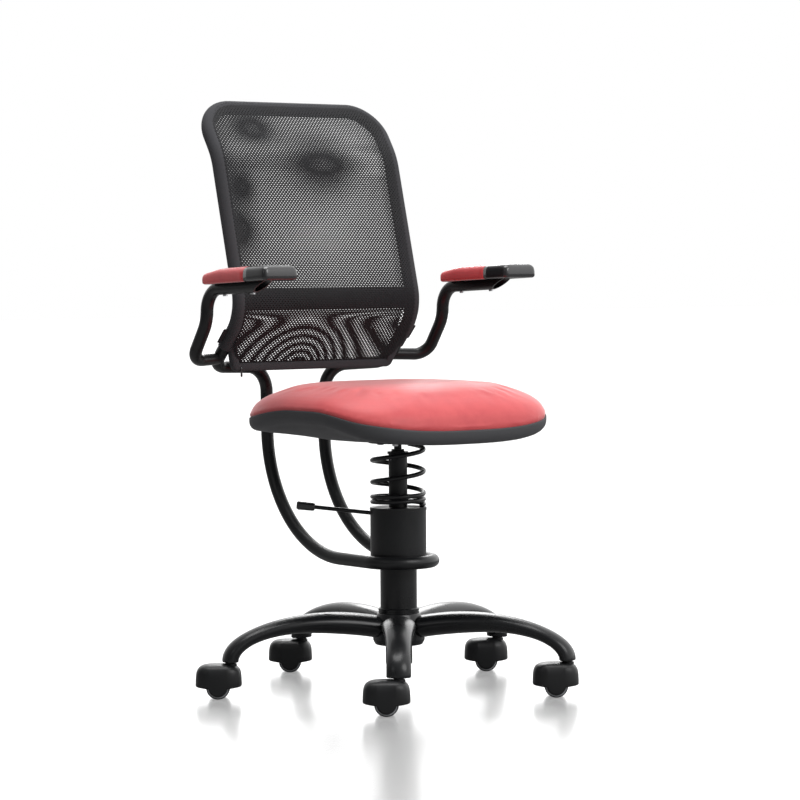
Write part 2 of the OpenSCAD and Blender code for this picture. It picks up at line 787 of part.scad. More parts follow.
module lever_rod() {
    color(BLACK) lever_place() difference() {
        union() {
            translate([0, 0, -lever_pivot_x - 2])
                cylinder(h = lever_end + 20 + 2, r = lever_r);
            rotate([90, 0, 0]) translate([0, 0, -5]) cylinder(h = 10, r = 5.5);
        }
        rotate([90, 0, 0]) translate([0, 0, -8]) cylinder(h = 16, r = lever_pivot_r + run_gap);
    }
}

module lever_grip() {
    grip_from = lever_end - lever_pivot_x;
    color(BLACK) lever_place() translate([0, 0, grip_from]) rotate_extrude()
        polygon([[lever_r + run_gap, 0], [grip_r - 1.5, 0], [grip_r - 0.5, 3],
            [grip_r, grip_l - 3], [grip_r - 1.5, grip_l], [0, grip_l],
            [0, 20.5], [lever_r + run_gap, 20.5]]);
}

module lever_pivot() {
    ear_z = block_z + block_h + 0.1;
    color(STEEL) rotate([0, 0, lever_turn]) translate([lever_pivot_x, 0, 0]) {
        for (side = [-1, 1]) translate([-4, side * 8 - 2, ear_z])
            cube([8, 4, lever_z(lever_pivot_x) + 4 - ear_z]);
        bar_along_y(0, lever_z(lever_pivot_x), lever_pivot_r, 18);
    }
}

module joint_cross() {
    color(STEEL) translate([0, 0, pivot_z]) {
        cube([2 * cross_half, 2 * cross_half, 10], center = true);
        bar_along_x(0, 0, pivot_pin_r, 2 * guide_r - 1);
        bar_along_y(0, 0, pivot_pin_r, 20);
    }
}

module seat_rod() {
    color(BLACK) {
        difference() {
            for (side = [-1, 1])
                translate([-5, side * (cross_half + 2.5) - yoke_ear_t / 2, pivot_z - 6])
                    cube([10, yoke_ear_t, guide_top_z + 2 - pivot_z + 6]);
            bar_along_y(0, pivot_z, pivot_pin_r + run_gap, 40);
        }
        translate([0, 0, guide_top_z]) cylinder(h = 4, r = yoke_r + 1.5);
        translate([0, 0, guide_top_z + 3])
            cylinder(h = seat_plate_z + 6 - guide_top_z - 3, r = seat_rod_r);
    }
}

// Seat plate over the spring, with four bolts into the seat board
plate_r = 50;
plate_h = 6.7;
bolt_circle_r = 30;
shell_floor_z = seat_plate_z + plate_h + seat_gap;
module bolt_holes(radius) {
    for (a = [45:90:315]) rotate([0, 0, a]) translate([bolt_circle_r, 0, seat_plate_z - 10])
        cylinder(h = 60, r = radius);
}

module seat_plate() {
    color(BLACK) difference() {
        translate([0, 0, seat_plate_z]) cylinder(h = plate_h, r = plate_r);
        translate([0, 0, seat_plate_z - 1]) cylinder(h = 7.2, r = seat_rod_r + run_gap);
        bolt_holes(bolt_r + 0.2);
    }
}

module seat_bolts() {
    color(STEEL) for (a = [45:90:315]) rotate([0, 0, a]) translate([bolt_circle_r, 0, 0]) {
        translate([0, 0, seat_plate_z - 4.1]) cylinder(h = 4, r = 5.5, $fn = 6);
        translate([0, 0, seat_plate_z - 0.2]) cylinder(h = 16, r = bolt_r);
    }
}

front_drop_y = 61;
front_drop_l = 106;
function rim_z(x, y) = rim_rear_z
    + (rim_side_z - rim_rear_z) * smooth((half_d - y) / (seat_d * 0.504))
    - (rim_side_z - rim_front_z) * smooth((-y - front_drop_y) / front_drop_l)
        * (1 - corner_lift * pow(abs(x) / half_w, 2.8));
function edge_z(x, y) = rim_z(x, y) - shell_side_h;
function plan_r(a, inset) = pow(pow(abs(cos(a)) / (half_w - inset), PLAN_POWER)
    + pow(abs(sin(a)) / (half_d - inset), PLAN_POWER), -1 / PLAN_POWER);
// What a ring's height is measured from: the rim, the shell's lower edge, the slope below
// that edge, the floor of the room, or the rim as a part of the way up to the crest
RIM = 0;
EDGE = 1;
SLOPE = 2;
LEVEL = 3;
CREST = 4;
function ring_z(from, h, x, y) = from == RIM ? rim_z(x, y) + h
    : from == EDGE ? edge_z(x, y) + h
    : from == SLOPE ? shell_floor_z + (edge_z(x, y) - shell_floor_z) * 0.65 + h
    : from == LEVEL ? h
    : rim_z(x, y) + (seat_top_z - rim_z(x, y)) * h;
function seat_ring(inset, from, h) = [for (k = [0:PLAN_POINTS - 1])
    let(a = 360 * k / PLAN_POINTS, r = plan_r(a, inset), x = r * cos(a), y = r * sin(a))
    [x, y, ring_z(from, h, x, y)]];

// The board lies on the shell's floor, short of where the shell's sides start to rise
shell_flat = 110;
board_edge = shell_flat + 4;
module seat_board() {
    color([0.6, 0.45, 0.3]) difference() {
        translate([0, 0, shell_floor_z + shell_wall + seat_gap]) linear_extrude(board_h)
            polygon([for (p = seat_ring(board_edge, LEVEL, 0)) [p[0], p[1]]]);
        bolt_holes(bolt_r + run_gap);
    }
}

module seat_shell() {
    color(BLACK) difference() {
        loft([seat_ring(shell_flat, LEVEL, shell_floor_z), seat_ring(40, SLOPE, 0), seat_ring(10, EDGE, 1),
            seat_ring(2, EDGE, 6), seat_ring(0, EDGE, 13), seat_ring(0, RIM, 0),
            seat_ring(shell_wall, RIM, 0), seat_ring(shell_wall, EDGE, 13),
            seat_ring(shell_wall + 2, EDGE, 6 + shell_wall), seat_ring(10 + shell_wall, EDGE, 1 + shell_wall),
            seat_ring(40, SLOPE, shell_wall), seat_ring(shell_flat, LEVEL, shell_floor_z + shell_wall)]);
        bolt_holes(bolt_r + 0.2);
    }
}

// Crowned cushion whose sides draw in at the rim
crown_reach = 146;
function crown(inset) = pow(1 - pow(1 - min(1, inset / crown_reach), 2.13), 0.435);
CROWN_INSETS = [0.8, 3, 8, 16, 28, 45, 70, 100, crown_reach];
module seat_cushion() {
    side = shell_wall + 0.4;
    color(RED) loft(concat([seat_ring(shell_flat + 2, LEVEL, shell_floor_z + shell_wall + board_h + 2 * seat_gap),
        seat_ring(40, SLOPE, shell_wall + 2), seat_ring(11 + shell_wall, EDGE, 4 + shell_wall),
        seat_ring(side + 2, EDGE, 8 + shell_wall), seat_ring(side, EDGE, 15), seat_ring(side, RIM, 0.4),
        seat_ring(1.6, RIM, 0.6), seat_ring(0, CREST, 0.1)],
        [for (inset = CROWN_INSETS) seat_ring(inset, CREST, crown(inset))]));
}

// Castor: hood over two wheels, stem at the origin, wheel axle behind it
cheek_in = web_half + wheel_w + 2 * wheel_gap;
hood_r = hood_d / 2;
module castor_at(k) {
    leg_turn = first_leg_turn + 72 * (k - 1);
    rotate([0, 0, leg_turn]) translate([stem_circle_r, 0, 0])
        rotate([0, 0, trail_turn - leg_turn]) children();
}

module castor_hood() {
    color(BLACK) difference() {
        union() {
            intersection() {
                translate([trail, 0, 0]) rotate_extrude() polygon([[0, skirt_z - 8],
                    [hood_r, skirt_z - 8], [hood_r - 1.6, 42], [hood_r - 3.5, 47.5],
                    [hood_r - 8, 52.5], [hood_r - 15, 56], [hood_r - 24, hood_top_z - 0.5],
                    [0, hood_top_z]]);
                translate([trail - hood_r, -hood_w / 2, 0]) cube([hood_d, hood_w, 80]);
                translate([trail, 40, 0]) rotate([90, 0, 0]) linear_extrude(80)
                    polygon([[-hood_r, skirt_z + 4.5], [-lobe_r, skirt_z], [lobe_r, skirt_z],
                        [hood_r, skirt_z + 4.5], [hood_r, 80], [-hood_r, 80]]);
            }
            for (side = [-1, 1])
                translate([trail, side * (cheek_in + hood_w / 2) / 2, axle_z])
                    rotate([90, 0, 0]) cylinder(h = hood_w / 2 - cheek_in, r = lobe_r, center = true);
            translate([0, 0, 46]) cylinder(h = leg_end_z - 1.5 - 46, r = 10);
        }
        for (side = [-1, 1])
            translate([trail, side * (web_half + cheek_in) / 2, axle_z]) {
                rotate([90, 0, 0])
                    cylinder(h = cheek_in - web_half, r = wheel_d / 2 + 2.5, center = true);
                translate([0, 0, -axle_z / 2 - 5])
                    cube([wheel_d + 5, cheek_in - web_half, axle_z + 10], center = true);
            }
        bar_along_y(trail, axle_z, axle_r + run_gap, 2 * hood_w);
        translate([0, 0, 31]) cylinder(h = 60, r = stem_r + run_gap);
    }
}

module castor_pins() {
    color(STEEL) {
        bar_along_y(trail, axle_z, axle_r, hood_w - 1);
        translate([0, 0, 31.5]) cylinder(h = leg_end_z + stem_in_leg - 0.5 - 31.5, r = stem_r);
    }
}

module castor_wheels() {
    r = wheel_d / 2;
    color(GREY) for (side = [0, 1]) translate([trail, 0, axle_z]) rotate([0, 0, 180 * side])
        rotate([-90, 0, 0]) translate([0, 0, web_half + wheel_gap]) rotate_extrude()
            polygon([[axle_r + run_gap, 0], [r - 3, 0], [r - 0.8, 1], [r, 3], [r, wheel_w - 4],
                [r - 1, wheel_w - 1.5], [r - 3, wheel_w], [r - 5, wheel_w], [r - 6, wheel_w - 2],
                [8, wheel_w - 2], [7, wheel_w], [axle_r + run_gap, wheel_w]]);
}

base_hub();
base_leg(1);  // base_leg_1
base_leg(2);  // base_leg_2
base_leg(3);  // base_leg_3
base_leg(4);  // base_leg_4
base_leg(5);  // base_leg_5
castor_sockets();
hub_collar();
column_tube();
guide_bush();
thrust_bearing();
piston_rod();
gas_tube();
valve_pin();
taper_block();
lift_housing();
housing_top_plate();
guide_tube();
seat_spring();
frame_tube();
back_frame();
sleeve_edge();
mesh_front();
mesh_rear();
mesh_hem();
lumbar_belt();
arm_tube_right();
arm_tube_left();
arm_board_right();
arm_board_left();
arm_pad_right();
arm_pad_left();
arm_cap_right();
arm_cap_left();
arm_screws();
lever_rod();
lever_grip();
lever_pivot();
joint_cross();
seat_rod();
seat_plate();
seat_bolts();
seat_board();
seat_shell();
seat_cushion();
castor_at(1) castor_hood();  // castor_1_hood
castor_at(1) castor_pins();  // castor_1_pins
castor_at(1) castor_wheels();  // castor_1_wheels
castor_at(2) castor_hood();  // castor_2_hood
castor_at(2) castor_pins();  // castor_2_pins
castor_at(2) castor_wheels();  // castor_2_wheels
castor_at(3) castor_hood();  // castor_3_hood
castor_at(3) castor_pins();  // castor_3_pins
castor_at(3) castor_wheels();  // castor_3_wheels
castor_at(4) castor_hood();  // castor_4_hood
castor_at(4) castor_pins();  // castor_4_pins
castor_at(4) castor_wheels();  // castor_4_wheels
castor_at(5) castor_hood();  // castor_5_hood
castor_at(5) castor_pins();  // castor_5_pins
castor_at(5) castor_wheels();  // castor_5_wheels
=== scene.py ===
"""Looks of a swivel office chair with a mesh sleeve back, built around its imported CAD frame."""

import logging
import math
from collections.abc import Callable, Sequence
from dataclasses import dataclass
from enum import Enum

import bmesh
import bpy
import numpy as np
from mathutils import Matrix, Vector


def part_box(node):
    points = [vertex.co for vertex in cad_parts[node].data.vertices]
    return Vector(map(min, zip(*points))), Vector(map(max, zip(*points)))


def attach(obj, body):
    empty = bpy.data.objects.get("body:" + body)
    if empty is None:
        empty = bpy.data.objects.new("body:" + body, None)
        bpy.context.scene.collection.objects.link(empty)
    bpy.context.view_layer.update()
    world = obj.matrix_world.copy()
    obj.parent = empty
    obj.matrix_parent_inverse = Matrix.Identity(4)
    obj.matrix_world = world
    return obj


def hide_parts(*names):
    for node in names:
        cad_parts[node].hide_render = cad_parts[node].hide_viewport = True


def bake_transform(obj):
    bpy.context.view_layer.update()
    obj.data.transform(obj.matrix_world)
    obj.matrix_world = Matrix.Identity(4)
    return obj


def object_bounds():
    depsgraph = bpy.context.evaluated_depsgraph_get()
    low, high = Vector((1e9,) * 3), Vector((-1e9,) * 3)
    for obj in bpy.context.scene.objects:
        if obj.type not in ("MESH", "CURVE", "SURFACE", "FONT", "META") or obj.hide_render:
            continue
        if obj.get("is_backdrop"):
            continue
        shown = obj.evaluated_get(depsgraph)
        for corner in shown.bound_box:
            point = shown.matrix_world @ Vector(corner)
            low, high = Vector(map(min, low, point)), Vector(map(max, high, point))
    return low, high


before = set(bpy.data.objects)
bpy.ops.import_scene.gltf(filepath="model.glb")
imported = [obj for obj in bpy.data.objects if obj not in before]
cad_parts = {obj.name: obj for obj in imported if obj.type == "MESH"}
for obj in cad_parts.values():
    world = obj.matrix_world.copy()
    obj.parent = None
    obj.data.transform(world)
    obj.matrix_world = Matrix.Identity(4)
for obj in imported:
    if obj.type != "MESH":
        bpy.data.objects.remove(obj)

LOG = logging.getLogger("chair")
# Step between two rows of a net over the pitch of its cells
ROW_SHARE = 0.53
# How far a flat net is made past its outline, at each side and at each end
NET_SPARE = (0.015, 0.032)
Colour = tuple[float, float, float]
Point = tuple[float, float, float]
Ring = list[Point]


class Body(str, Enum):
    """The moving bodies that pieces ride on."""

    BASE = "base"
    FRAME = "frame"
    CROSS = "cross"
    SEAT = "seat"


class Relief(Enum):
    """The small-scale surface that a finish has."""

    MOULDED = "moulded"
    POWDER = "powder"
    SUEDE = "suede"
    WOVEN = "woven"
    TURNED = "turned"
    PLY = "ply"


# Vector and mesh helpers


def unit(v: np.ndarray) -> np.ndarray:
    """Returns v at length one."""
    return v / np.linalg.norm(v)


def smooth(t: float) -> float:
    """Returns t eased between 0 and 1."""
    u = min(1.0, max(0.0, t))
    return u * u * (3 - 2 * u)


def round_turn(count: int) -> list[float]:
    """Returns count angles, evenly spread round a full turn."""
    return [2 * math.pi * k / count for k in range(count)]


def squarish(a: float, power: float) -> tuple[float, float]:
    """Returns the cosine and sine of a, squared up the more the smaller the power is."""
    return tuple(math.copysign(abs(t) ** power, t) for t in (math.cos(a), math.sin(a)))


def mesh_object(name: str, points: Sequence[Sequence[float]], faces: Sequence[Sequence[int]],
                rounded: bool = True) -> bpy.types.Object:
    """Makes a linked mesh object.

    Args:
        name: the piece's name.
        points: vertex positions in metres.
        faces: vertex indices of each face.
        rounded: whether its faces are shaded smooth.

    Returns:
        The object, at the origin.
    """
    mesh = bpy.data.meshes.new(name)
    mesh.from_pydata([tuple(map(float, p)) for p in points], [], [tuple(map(int, f)) for f in faces])
    mesh.validate()
    mesh.polygons.foreach_set("use_smooth", [rounded] * len(mesh.polygons))
    made = bpy.data.objects.new(name, mesh)
    bpy.context.scene.collection.objects.link(made)
    return made


def skin(name: str, rings: Sequence[Ring], loop: bool = False) -> bpy.types.Object:
    """Stretches a closed skin over rings of equally many points.

    Args:
        name: the piece's name.
        rings: the rings, each turning the same way; inside lies to the left of their order.
        loop: whether the last ring joins the first, in place of two end caps.

    Returns:
        The skinned object with its faces pointing outwards.
    """
    count, sides = len(rings), len(rings[0])
    points = [p for ring in rings for p in ring]
    faces = []
    for i in range(count if loop else count - 1):
        a, b = i * sides, ((i + 1) % count) * sides
        for j in range(sides):
            k = (j + 1) % sides
            faces.append((a + j, a + k, b + k, b + j))
    if not loop:
        for ring, last in ((0, False), (count - 1, True)):
            points.append(tuple(np.mean(rings[ring], axis=0)))
            hub = len(points) - 1
            for j in range(sides):
                k = (j + 1) % sides
                face = (ring * sides + j, ring * sides + k, hub)
                faces.append(face if last else face[::-1])
    made = mesh_object(name, points, faces)
    turn_outwards(made)
    return made


def turn_outwards(piece: bpy.types.Object) -> None:
    """Flips a closed mesh whose faces point inwards."""
    mesh = piece.data
    mesh.calc_loop_triangles()
    co = np.array([v.co for v in mesh.vertices], float)
    tri = np.array([t.vertices for t in mesh.loop_triangles])
    volume = np.einsum("ij,ij->i", co[tri[:, 0]], np.cross(co[tri[:, 1]], co[tri[:, 2]])).sum()
    if volume < 0:
        mesh.flip_normals()


def bent_path(points: Sequence[Sequence[float]], bends: Sequence[float], step: float = 0.006) -> np.ndarray:
    """Rounds the corners of a line of points.

    Args:
        points: the corners in metres.
        bends: the bend radius at each corner, 0 at the ends.
        step: the spacing of the points returned.

    Returns:
        Points along the rounded line.
    """
    corner = [np.array(p, float) for p in points]
    path = [corner[0]]
    for i in range(1, len(corner) - 1):
        ahead, after = unit(corner[i] - corner[i - 1]), unit(corner[i + 1] - corner[i])
        turn = math.acos(max(-1.0, min(1.0, float(ahead @ after))))
        start = corner[i] - ahead * bends[i] * math.tan(turn / 2)
        inward = unit(after - ahead * (ahead @ after))
        centre = start + inward * bends[i]
        path += run(path[-1], start, step)
        count = max(4, round(bends[i] * turn / step))
        for k in range(1, count + 1):
            a = turn * k / count
            path.append(centre - inward * bends[i] * math.cos(a) + ahead * bends[i] * math.sin(a))
    return np.array(path + run(path[-1], corner[-1], step))


def run(start: np.ndarray, end: np.ndarray, step: float) -> list[np.ndarray]:
    """Returns points from start, left out, to end along a straight line."""
    count = max(1, round(float(np.linalg.norm(end - start)) / step))
    return [start + (end - start) * k / count for k in range(1, count + 1)]


def frames_along(path: np.ndarray) -> tuple[np.ndarray, np.ndarray, np.ndarray]:
    """Returns the tangent, side and up vectors along a path, turned as little as possible."""
    ahead = np.gradient(path, axis=0)
    ahead /= np.linalg.norm(ahead, axis=1)[:, None]
    side = np.zeros_like(path)
    seed = np.array([0.0, 0.0, 1.0]) if abs(ahead[0][2]) < 0.9 else np.array([1.0, 0.0, 0.0])
    last = unit(np.cross(ahead[0], seed))
    for i, way in enumerate(ahead):
        last = unit(last - way * (last @ way))
        side[i] = last
    return ahead, side, np.cross(ahead, side)


def tube(name: str, path: np.ndarray, radius: float, sides: int = 28) -> bpy.types.Object:
    """Sweeps a round bar along a path."""
    _, side, up = frames_along(path)
    angle = np.linspace(0, 2 * math.pi, sides, endpoint=False)
    rings = [[tuple(p + radius * (math.cos(a) * s + math.sin(a) * u)) for a in angle]
             for p, s, u in zip(path, side, up)]
    return skin(name, rings)


def turned(name: str, profile: Sequence[tuple[float, float]], centre: Sequence[float] = (0, 0, 0),
           sides: int = 96) -> bpy.types.Object:
    """Turns a closed (radius, height) profile about the vertical through centre."""
    rings = [[(centre[0] + r * math.cos(a), centre[1] + r * math.sin(a), centre[2] + z)
              for r, z in profile]
             for a in np.linspace(0, 2 * math.pi, sides, endpoint=False)]
    return skin(name, rings, loop=True)


def rounded_profile(corners: Sequence[tuple[float, float]], radii: Sequence[float],
                    steps: int = 6) -> list[tuple[float, float]]:
    """Rounds each corner of a closed outline with its own radius."""
    out = []
    count = len(corners)
    for i in range(count):
        p = np.array(corners[i], float)
        before = unit(np.array(corners[i - 1], float) - p)
        after = unit(np.array(corners[(i + 1) % count], float) - p)
        half = math.acos(max(-1.0, min(1.0, float(before @ after)))) / 2
        if radii[i] <= 0:
            out.append(tuple(p))
            continue
        reach = radii[i] / math.tan(half)
        for k in range(steps + 1):
            t = k / steps
            a, b = p + before * reach, p + after * reach
            out.append(tuple((1 - t) ** 2 * a + 2 * t * (1 - t) * p + t * t * b))
    return out


# Shader groups and finishes


class Nodes:
    """A short way to add and join the nodes of one tree."""

    def __init__(self, tree: bpy.types.NodeTree) -> None:
        """Keeps the tree."""
        self.tree = tree

    def add(self, kind: str, inputs: dict | None = None, **props: object) -> bpy.types.Node:
        """Adds a node.

        Args:
            kind: Blender's node type.
            inputs: socket name or index to a value, or to a socket to join.
            props: properties of the node.

        Returns:
            The node.
        """
        node = self.tree.nodes.new(kind)
        for key, value in props.items():
            setattr(node, key, value)
        for key, value in (inputs or {}).items():
            if isinstance(value, bpy.types.NodeSocket):
                self.tree.links.new(value, node.inputs[key])
            else:
                node.inputs[key].default_value = value
        return node

    def maths(self, operation: str, a: object, b: object = 0.0) -> bpy.types.NodeSocket:
        """Adds a Math node and returns its output."""
        return self.add("ShaderNodeMath", {0: a, 1: b}, operation=operation).outputs[0]


def shader_group(name: str, inputs: dict[str, float], outputs: Sequence[str],
                 fill: Callable[[Nodes, bpy.types.Node], dict]) -> bpy.types.NodeTree:
    """Makes a shader group once.

    Args:
        name: the group's name.
        inputs: names and defaults of its float inputs.
        outputs: names of its float outputs.
        fill: adds the nodes and returns each output's socket.

    Returns:
        The group's tree.
    """
    if name in bpy.data.node_groups:
        return bpy.data.node_groups[name]
    tree = bpy.data.node_groups.new(name, "ShaderNodeTree")
    for key, value in inputs.items():
        socket = tree.interface.new_socket(name=key, in_out="INPUT", socket_type="NodeSocketFloat")
        socket.default_value = value
    for key in outputs:
        tree.interface.new_socket(name=key, in_out="OUTPUT", socket_type="NodeSocketFloat")
    nodes = Nodes(tree)
    source = nodes.add("NodeGroupInput")
    sink = nodes.add("NodeGroupOutput")
    for key, socket in fill(nodes, source).items():
        tree.links.new(socket, sink.inputs[key])
    return tree


def mottle_group() -> bpy.types.NodeTree:
    """Soft cloudy patches, for colour and roughness."""
    def fill(n: Nodes, source: bpy.types.Node) -> dict:
        spot = n.add("ShaderNodeTexCoord").outputs["Object"]
        cloud = n.add("ShaderNodeTexNoise", {"Vector": spot, "Scale": source.outputs["Scale"],
                                             "Detail": 4.0, "Roughness": 0.6})
        sharp = n.add("ShaderNodeMapRange", {"Value": cloud.outputs[0], "From Min": 0.32, "From Max": 0.68})
        return {"Patch": sharp.outputs[0]}
    return shader_group("cloudy_patches", {"Scale": 8.0}, ["Patch"], fill)


def grain_group() -> bpy.types.NodeTree:
    """Fine pits and bumps of moulded plastic, powder coat and hide."""
    def fill(n: Nodes, source: bpy.types.Node) -> dict:
        spot = n.add("ShaderNodeTexCoord").outputs["Object"]
        cells = n.add("ShaderNodeTexVoronoi", {"Vector": spot, "Scale": source.outputs["Scale"]},
                      feature="SMOOTH_F1")
        fine = n.add("ShaderNodeTexNoise", {"Vector": spot, "Scale": source.outputs["Scale"], "Detail": 3.0})
        return {"Height": n.maths("ADD", n.maths("MULTIPLY", cells.outputs[0], source.outputs["Cells"]),
                                  fine.outputs[0])}
    return shader_group("fine_grain", {"Scale": 900.0, "Cells": 0.6}, ["Height"], fill)


def weave_group() -> bpy.types.NodeTree:
    """Crossed threads, with a pitch in metres."""
    def fill(n: Nodes, source: bpy.types.Node) -> dict:
        spot = n.add("ShaderNodeSeparateXYZ", {0: n.add("ShaderNodeTexCoord").outputs["Object"]})
        turns = n.maths("DIVIDE", 2 * math.pi, source.outputs["Pitch"])
        half_z = n.maths("MULTIPLY", spot.outputs["Z"], 0.5)
        across = n.maths("ADD", spot.outputs["X"], half_z)
        along = n.maths("ADD", n.maths("SUBTRACT", spot.outputs["X"], half_z), spot.outputs["Y"])
        warp = n.maths("SINE", n.maths("MULTIPLY", across, turns))
        weft = n.maths("SINE", n.maths("MULTIPLY", along, turns))
        height = n.maths("MULTIPLY", n.maths("ADD", n.maths("MULTIPLY", warp, weft), 1.0), 0.5)
        return {"Height": height}
    return shader_group("crossed_threads", {"Pitch": 0.0022}, ["Height"], fill)


def ply_group() -> bpy.types.NodeTree:
    """Layers and long fibres of plywood."""
    def fill(n: Nodes, source: bpy.types.Node) -> dict:
        spot = n.add("ShaderNodeTexCoord").outputs["Object"]
        long_way = n.add("ShaderNodeMapping", {"Vector": spot, "Scale": (1.0, 9.0, 30.0)})
        fibre = n.add("ShaderNodeTexNoise", {"Vector": long_way.outputs[0], "Scale": source.outputs["Scale"],
                                             "Detail": 6.0})
        return {"Height": fibre.outputs[0]}
    return shader_group("ply_fibres", {"Scale": 12.0}, ["Height"], fill)


@dataclass(frozen=True)
class Finish:
    """One surface finish, with a slot name that this script does not use."""

    name: str
    slot: str
    colour: Colour
    patch: Colour
    roughness: tuple[float, float]
    relief: Relief
    scale: float
    bump: float
    specular: float = 0.5
    metallic: float = 0.0
    coat: float = 0.0
    coat_roughness: float = 0.12
    sheen: float = 0.0
    sheen_roughness: float = 0.35
    sheen_colour: Colour = (1.0, 1.0, 1.0)
    patch_scale: float = 9.0

    def material(self) -> bpy.types.Material:
        """Returns the material, built once."""
        if self.name in bpy.data.materials:
            return bpy.data.materials[self.name]
        made = bpy.data.materials.new(self.name)
        made.use_nodes = True
        made.node_tree.nodes.clear()
        n = Nodes(made.node_tree)
        patches = n.add("ShaderNodeGroup", node_tree=mottle_group())
        patches.inputs["Scale"].default_value = self.patch_scale
        patch = patches.outputs["Patch"]
        height = self.height(n)
        tint = self.mix_colour(n, patch)
        rough = n.add("ShaderNodeMapRange", {"Value": patch, "To Min": self.roughness[0],
                                             "To Max": self.roughness[1]})
        bump = n.add("ShaderNodeBump", {"Height": height, "Strength": 1.0, "Distance": self.bump})
        shader = n.add("ShaderNodeBsdfPrincipled", {
            "Base Color": tint, "Roughness": rough.outputs[0], "Normal": bump.outputs[0],
            "Metallic": self.metallic, "Specular IOR Level": self.specular, "Coat Weight": self.coat,
            "Coat Roughness": self.coat_roughness, "Sheen Weight": self.sheen,
            "Sheen Roughness": self.sheen_roughness, "Sheen Tint": (*self.sheen_colour, 1.0)})
        n.add("ShaderNodeOutputMaterial", {"Surface": shader.outputs[0]})
        return made

    def mix_colour(self, n: Nodes, share: bpy.types.NodeSocket) -> bpy.types.NodeSocket:
        """Returns the colour mixed from the two tones by share."""
        ramp = n.add("ShaderNodeValToRGB", {0: share})
        ramp.color_ramp.elements[0].color = (*self.colour, 1.0)
        ramp.color_ramp.elements[1].color = (*self.patch, 1.0)
        return ramp.outputs[0]

    def height(self, n: Nodes) -> bpy.types.NodeSocket:
        """Returns the socket that holds the relief's height."""
        tree, key = {
            Relief.WOVEN: (weave_group, "Pitch"), Relief.PLY: (ply_group, "Scale"),
        }.get(self.relief, (grain_group, "Scale"))
        group = n.add("ShaderNodeGroup", node_tree=tree())
        group.inputs[key].default_value = self.scale
        if "Cells" in group.inputs:
            group.inputs["Cells"].default_value = 0.0 if self.relief is Relief.TURNED else 0.6
        return group.outputs["Height"]


GLOSS_BASE = Finish("moulded_gloss", "base_plastic", (0.0075, 0.008, 0.009), (0.011, 0.0115, 0.0125),
                    (0.22, 0.31), Relief.MOULDED, 1400.0, 0.00002, specular=0.3)
HOOD = Finish("castor_shell", "castor_plastic", (0.0085, 0.0088, 0.0095), (0.012, 0.0122, 0.013),
              (0.34, 0.44), Relief.MOULDED, 1800.0, 0.00004, specular=0.26)
WHEEL = Finish("wheel_tread", "wheel_tread", (0.018, 0.018, 0.02), (0.026, 0.026, 0.028),
               (0.4, 0.55), Relief.MOULDED, 1500.0, 0.00003, specular=0.25)
# Pale grey of the ring on each wheel's outer side: a painted highlight, standing for the light on the tread's
# edge.
WHEEL_PAINTED_HIGHLIGHT = Finish("wheel_painted_highlight", "wheel_tread", (0.34, 0.35, 0.36), (0.42, 0.43, 0.44),
                   (0.3, 0.42), Relief.MOULDED, 1500.0, 0.00002, specular=0.4)
PIN = Finish("dark_pin_steel", "steel", (0.035, 0.035, 0.037), (0.06, 0.06, 0.062),
             (0.3, 0.42), Relief.TURNED, 1500.0, 0.00001, specular=0.4, metallic=1.0)
PAINT = Finish("powder_coat", "frame_paint", (0.0085, 0.0088, 0.0095), (0.012, 0.0125, 0.0135),
               (0.27, 0.36), Relief.POWDER, 1100.0, 0.00004, specular=0.27)
SPRING = Finish("spring_enamel", "spring_paint", (0.007, 0.007, 0.008), (0.01, 0.01, 0.011),
                (0.24, 0.34), Relief.POWDER, 1400.0, 0.00002, specular=0.3)
STEEL = Finish("turned_steel", "steel", (0.5, 0.5, 0.51), (0.58, 0.58, 0.6), (0.25, 0.4),
               Relief.TURNED, 1600.0, 0.00001, metallic=1.0)
BUSH = Finish("bush_plastic", "bush_plastic", (0.06, 0.06, 0.06), (0.08, 0.08, 0.08), (0.5, 0.6),
              Relief.MOULDED, 1200.0, 0.00003, specular=0.3)
SLEEVE = Finish("sleeve_cloth", "sleeve_cloth", (0.004, 0.004, 0.0045), (0.011, 0.011, 0.012), (0.55, 0.7),
                Relief.WOVEN, 0.0022, 0.0003, specular=0.09, sheen=0.01)
TAB = Finish("tab_cloth", "sleeve_cloth", (0.014, 0.014, 0.016), (0.024, 0.024, 0.027), (0.6, 0.75),
             Relief.WOVEN, 0.0018, 0.0002, specular=0.25, sheen=0.05)
NET = Finish("net_thread", "mesh_cloth", (0.008, 0.008, 0.009), (0.014, 0.014, 0.016), (0.5, 0.65),
             Relief.WOVEN, 0.0009, 0.00008, specular=0.2, sheen=0.02)
RED_SEAT = Finish("red_seat_cloth", "red_cloth", (0.5, 0.05, 0.058), (0.6, 0.085, 0.09), (0.42, 0.58),
                  Relief.SUEDE, 1300.0, 0.00008, specular=0.4, sheen=0.9, sheen_colour=(1.0, 0.72, 0.72),
                  patch_scale=16.0)
RED_PAD = Finish("red_pad_cover", "red_pad", (0.5, 0.048, 0.055), (0.58, 0.07, 0.076), (0.32, 0.46),
                 Relief.SUEDE, 1500.0, 0.00006, specular=0.4, sheen=0.95, sheen_colour=(1.0, 0.72, 0.72),
                 patch_scale=26.0)
CAP = Finish("soft_black_cap", "cap_plastic", (0.009, 0.009, 0.01), (0.014, 0.014, 0.016), (0.3, 0.42),
             Relief.MOULDED, 700.0, 0.00008, specular=0.35, coat=0.7)
SHELL = Finish("shell_plastic", "shell_plastic", (0.0105, 0.011, 0.012), (0.015, 0.0155, 0.017), (0.4, 0.52),
               Relief.MOULDED, 1300.0, 0.00005, specular=0.25)
BOARD = Finish("plywood", "board_wood", (0.45, 0.3, 0.17), (0.56, 0.4, 0.25), (0.55, 0.7),
               Relief.PLY, 14.0, 0.0001)


def dress(piece: bpy.types.Object, finish: Finish) -> None:
    """Gives a piece or a frame node its only material."""
    piece.data.materials.clear()
    piece.data.materials.append(finish.material())


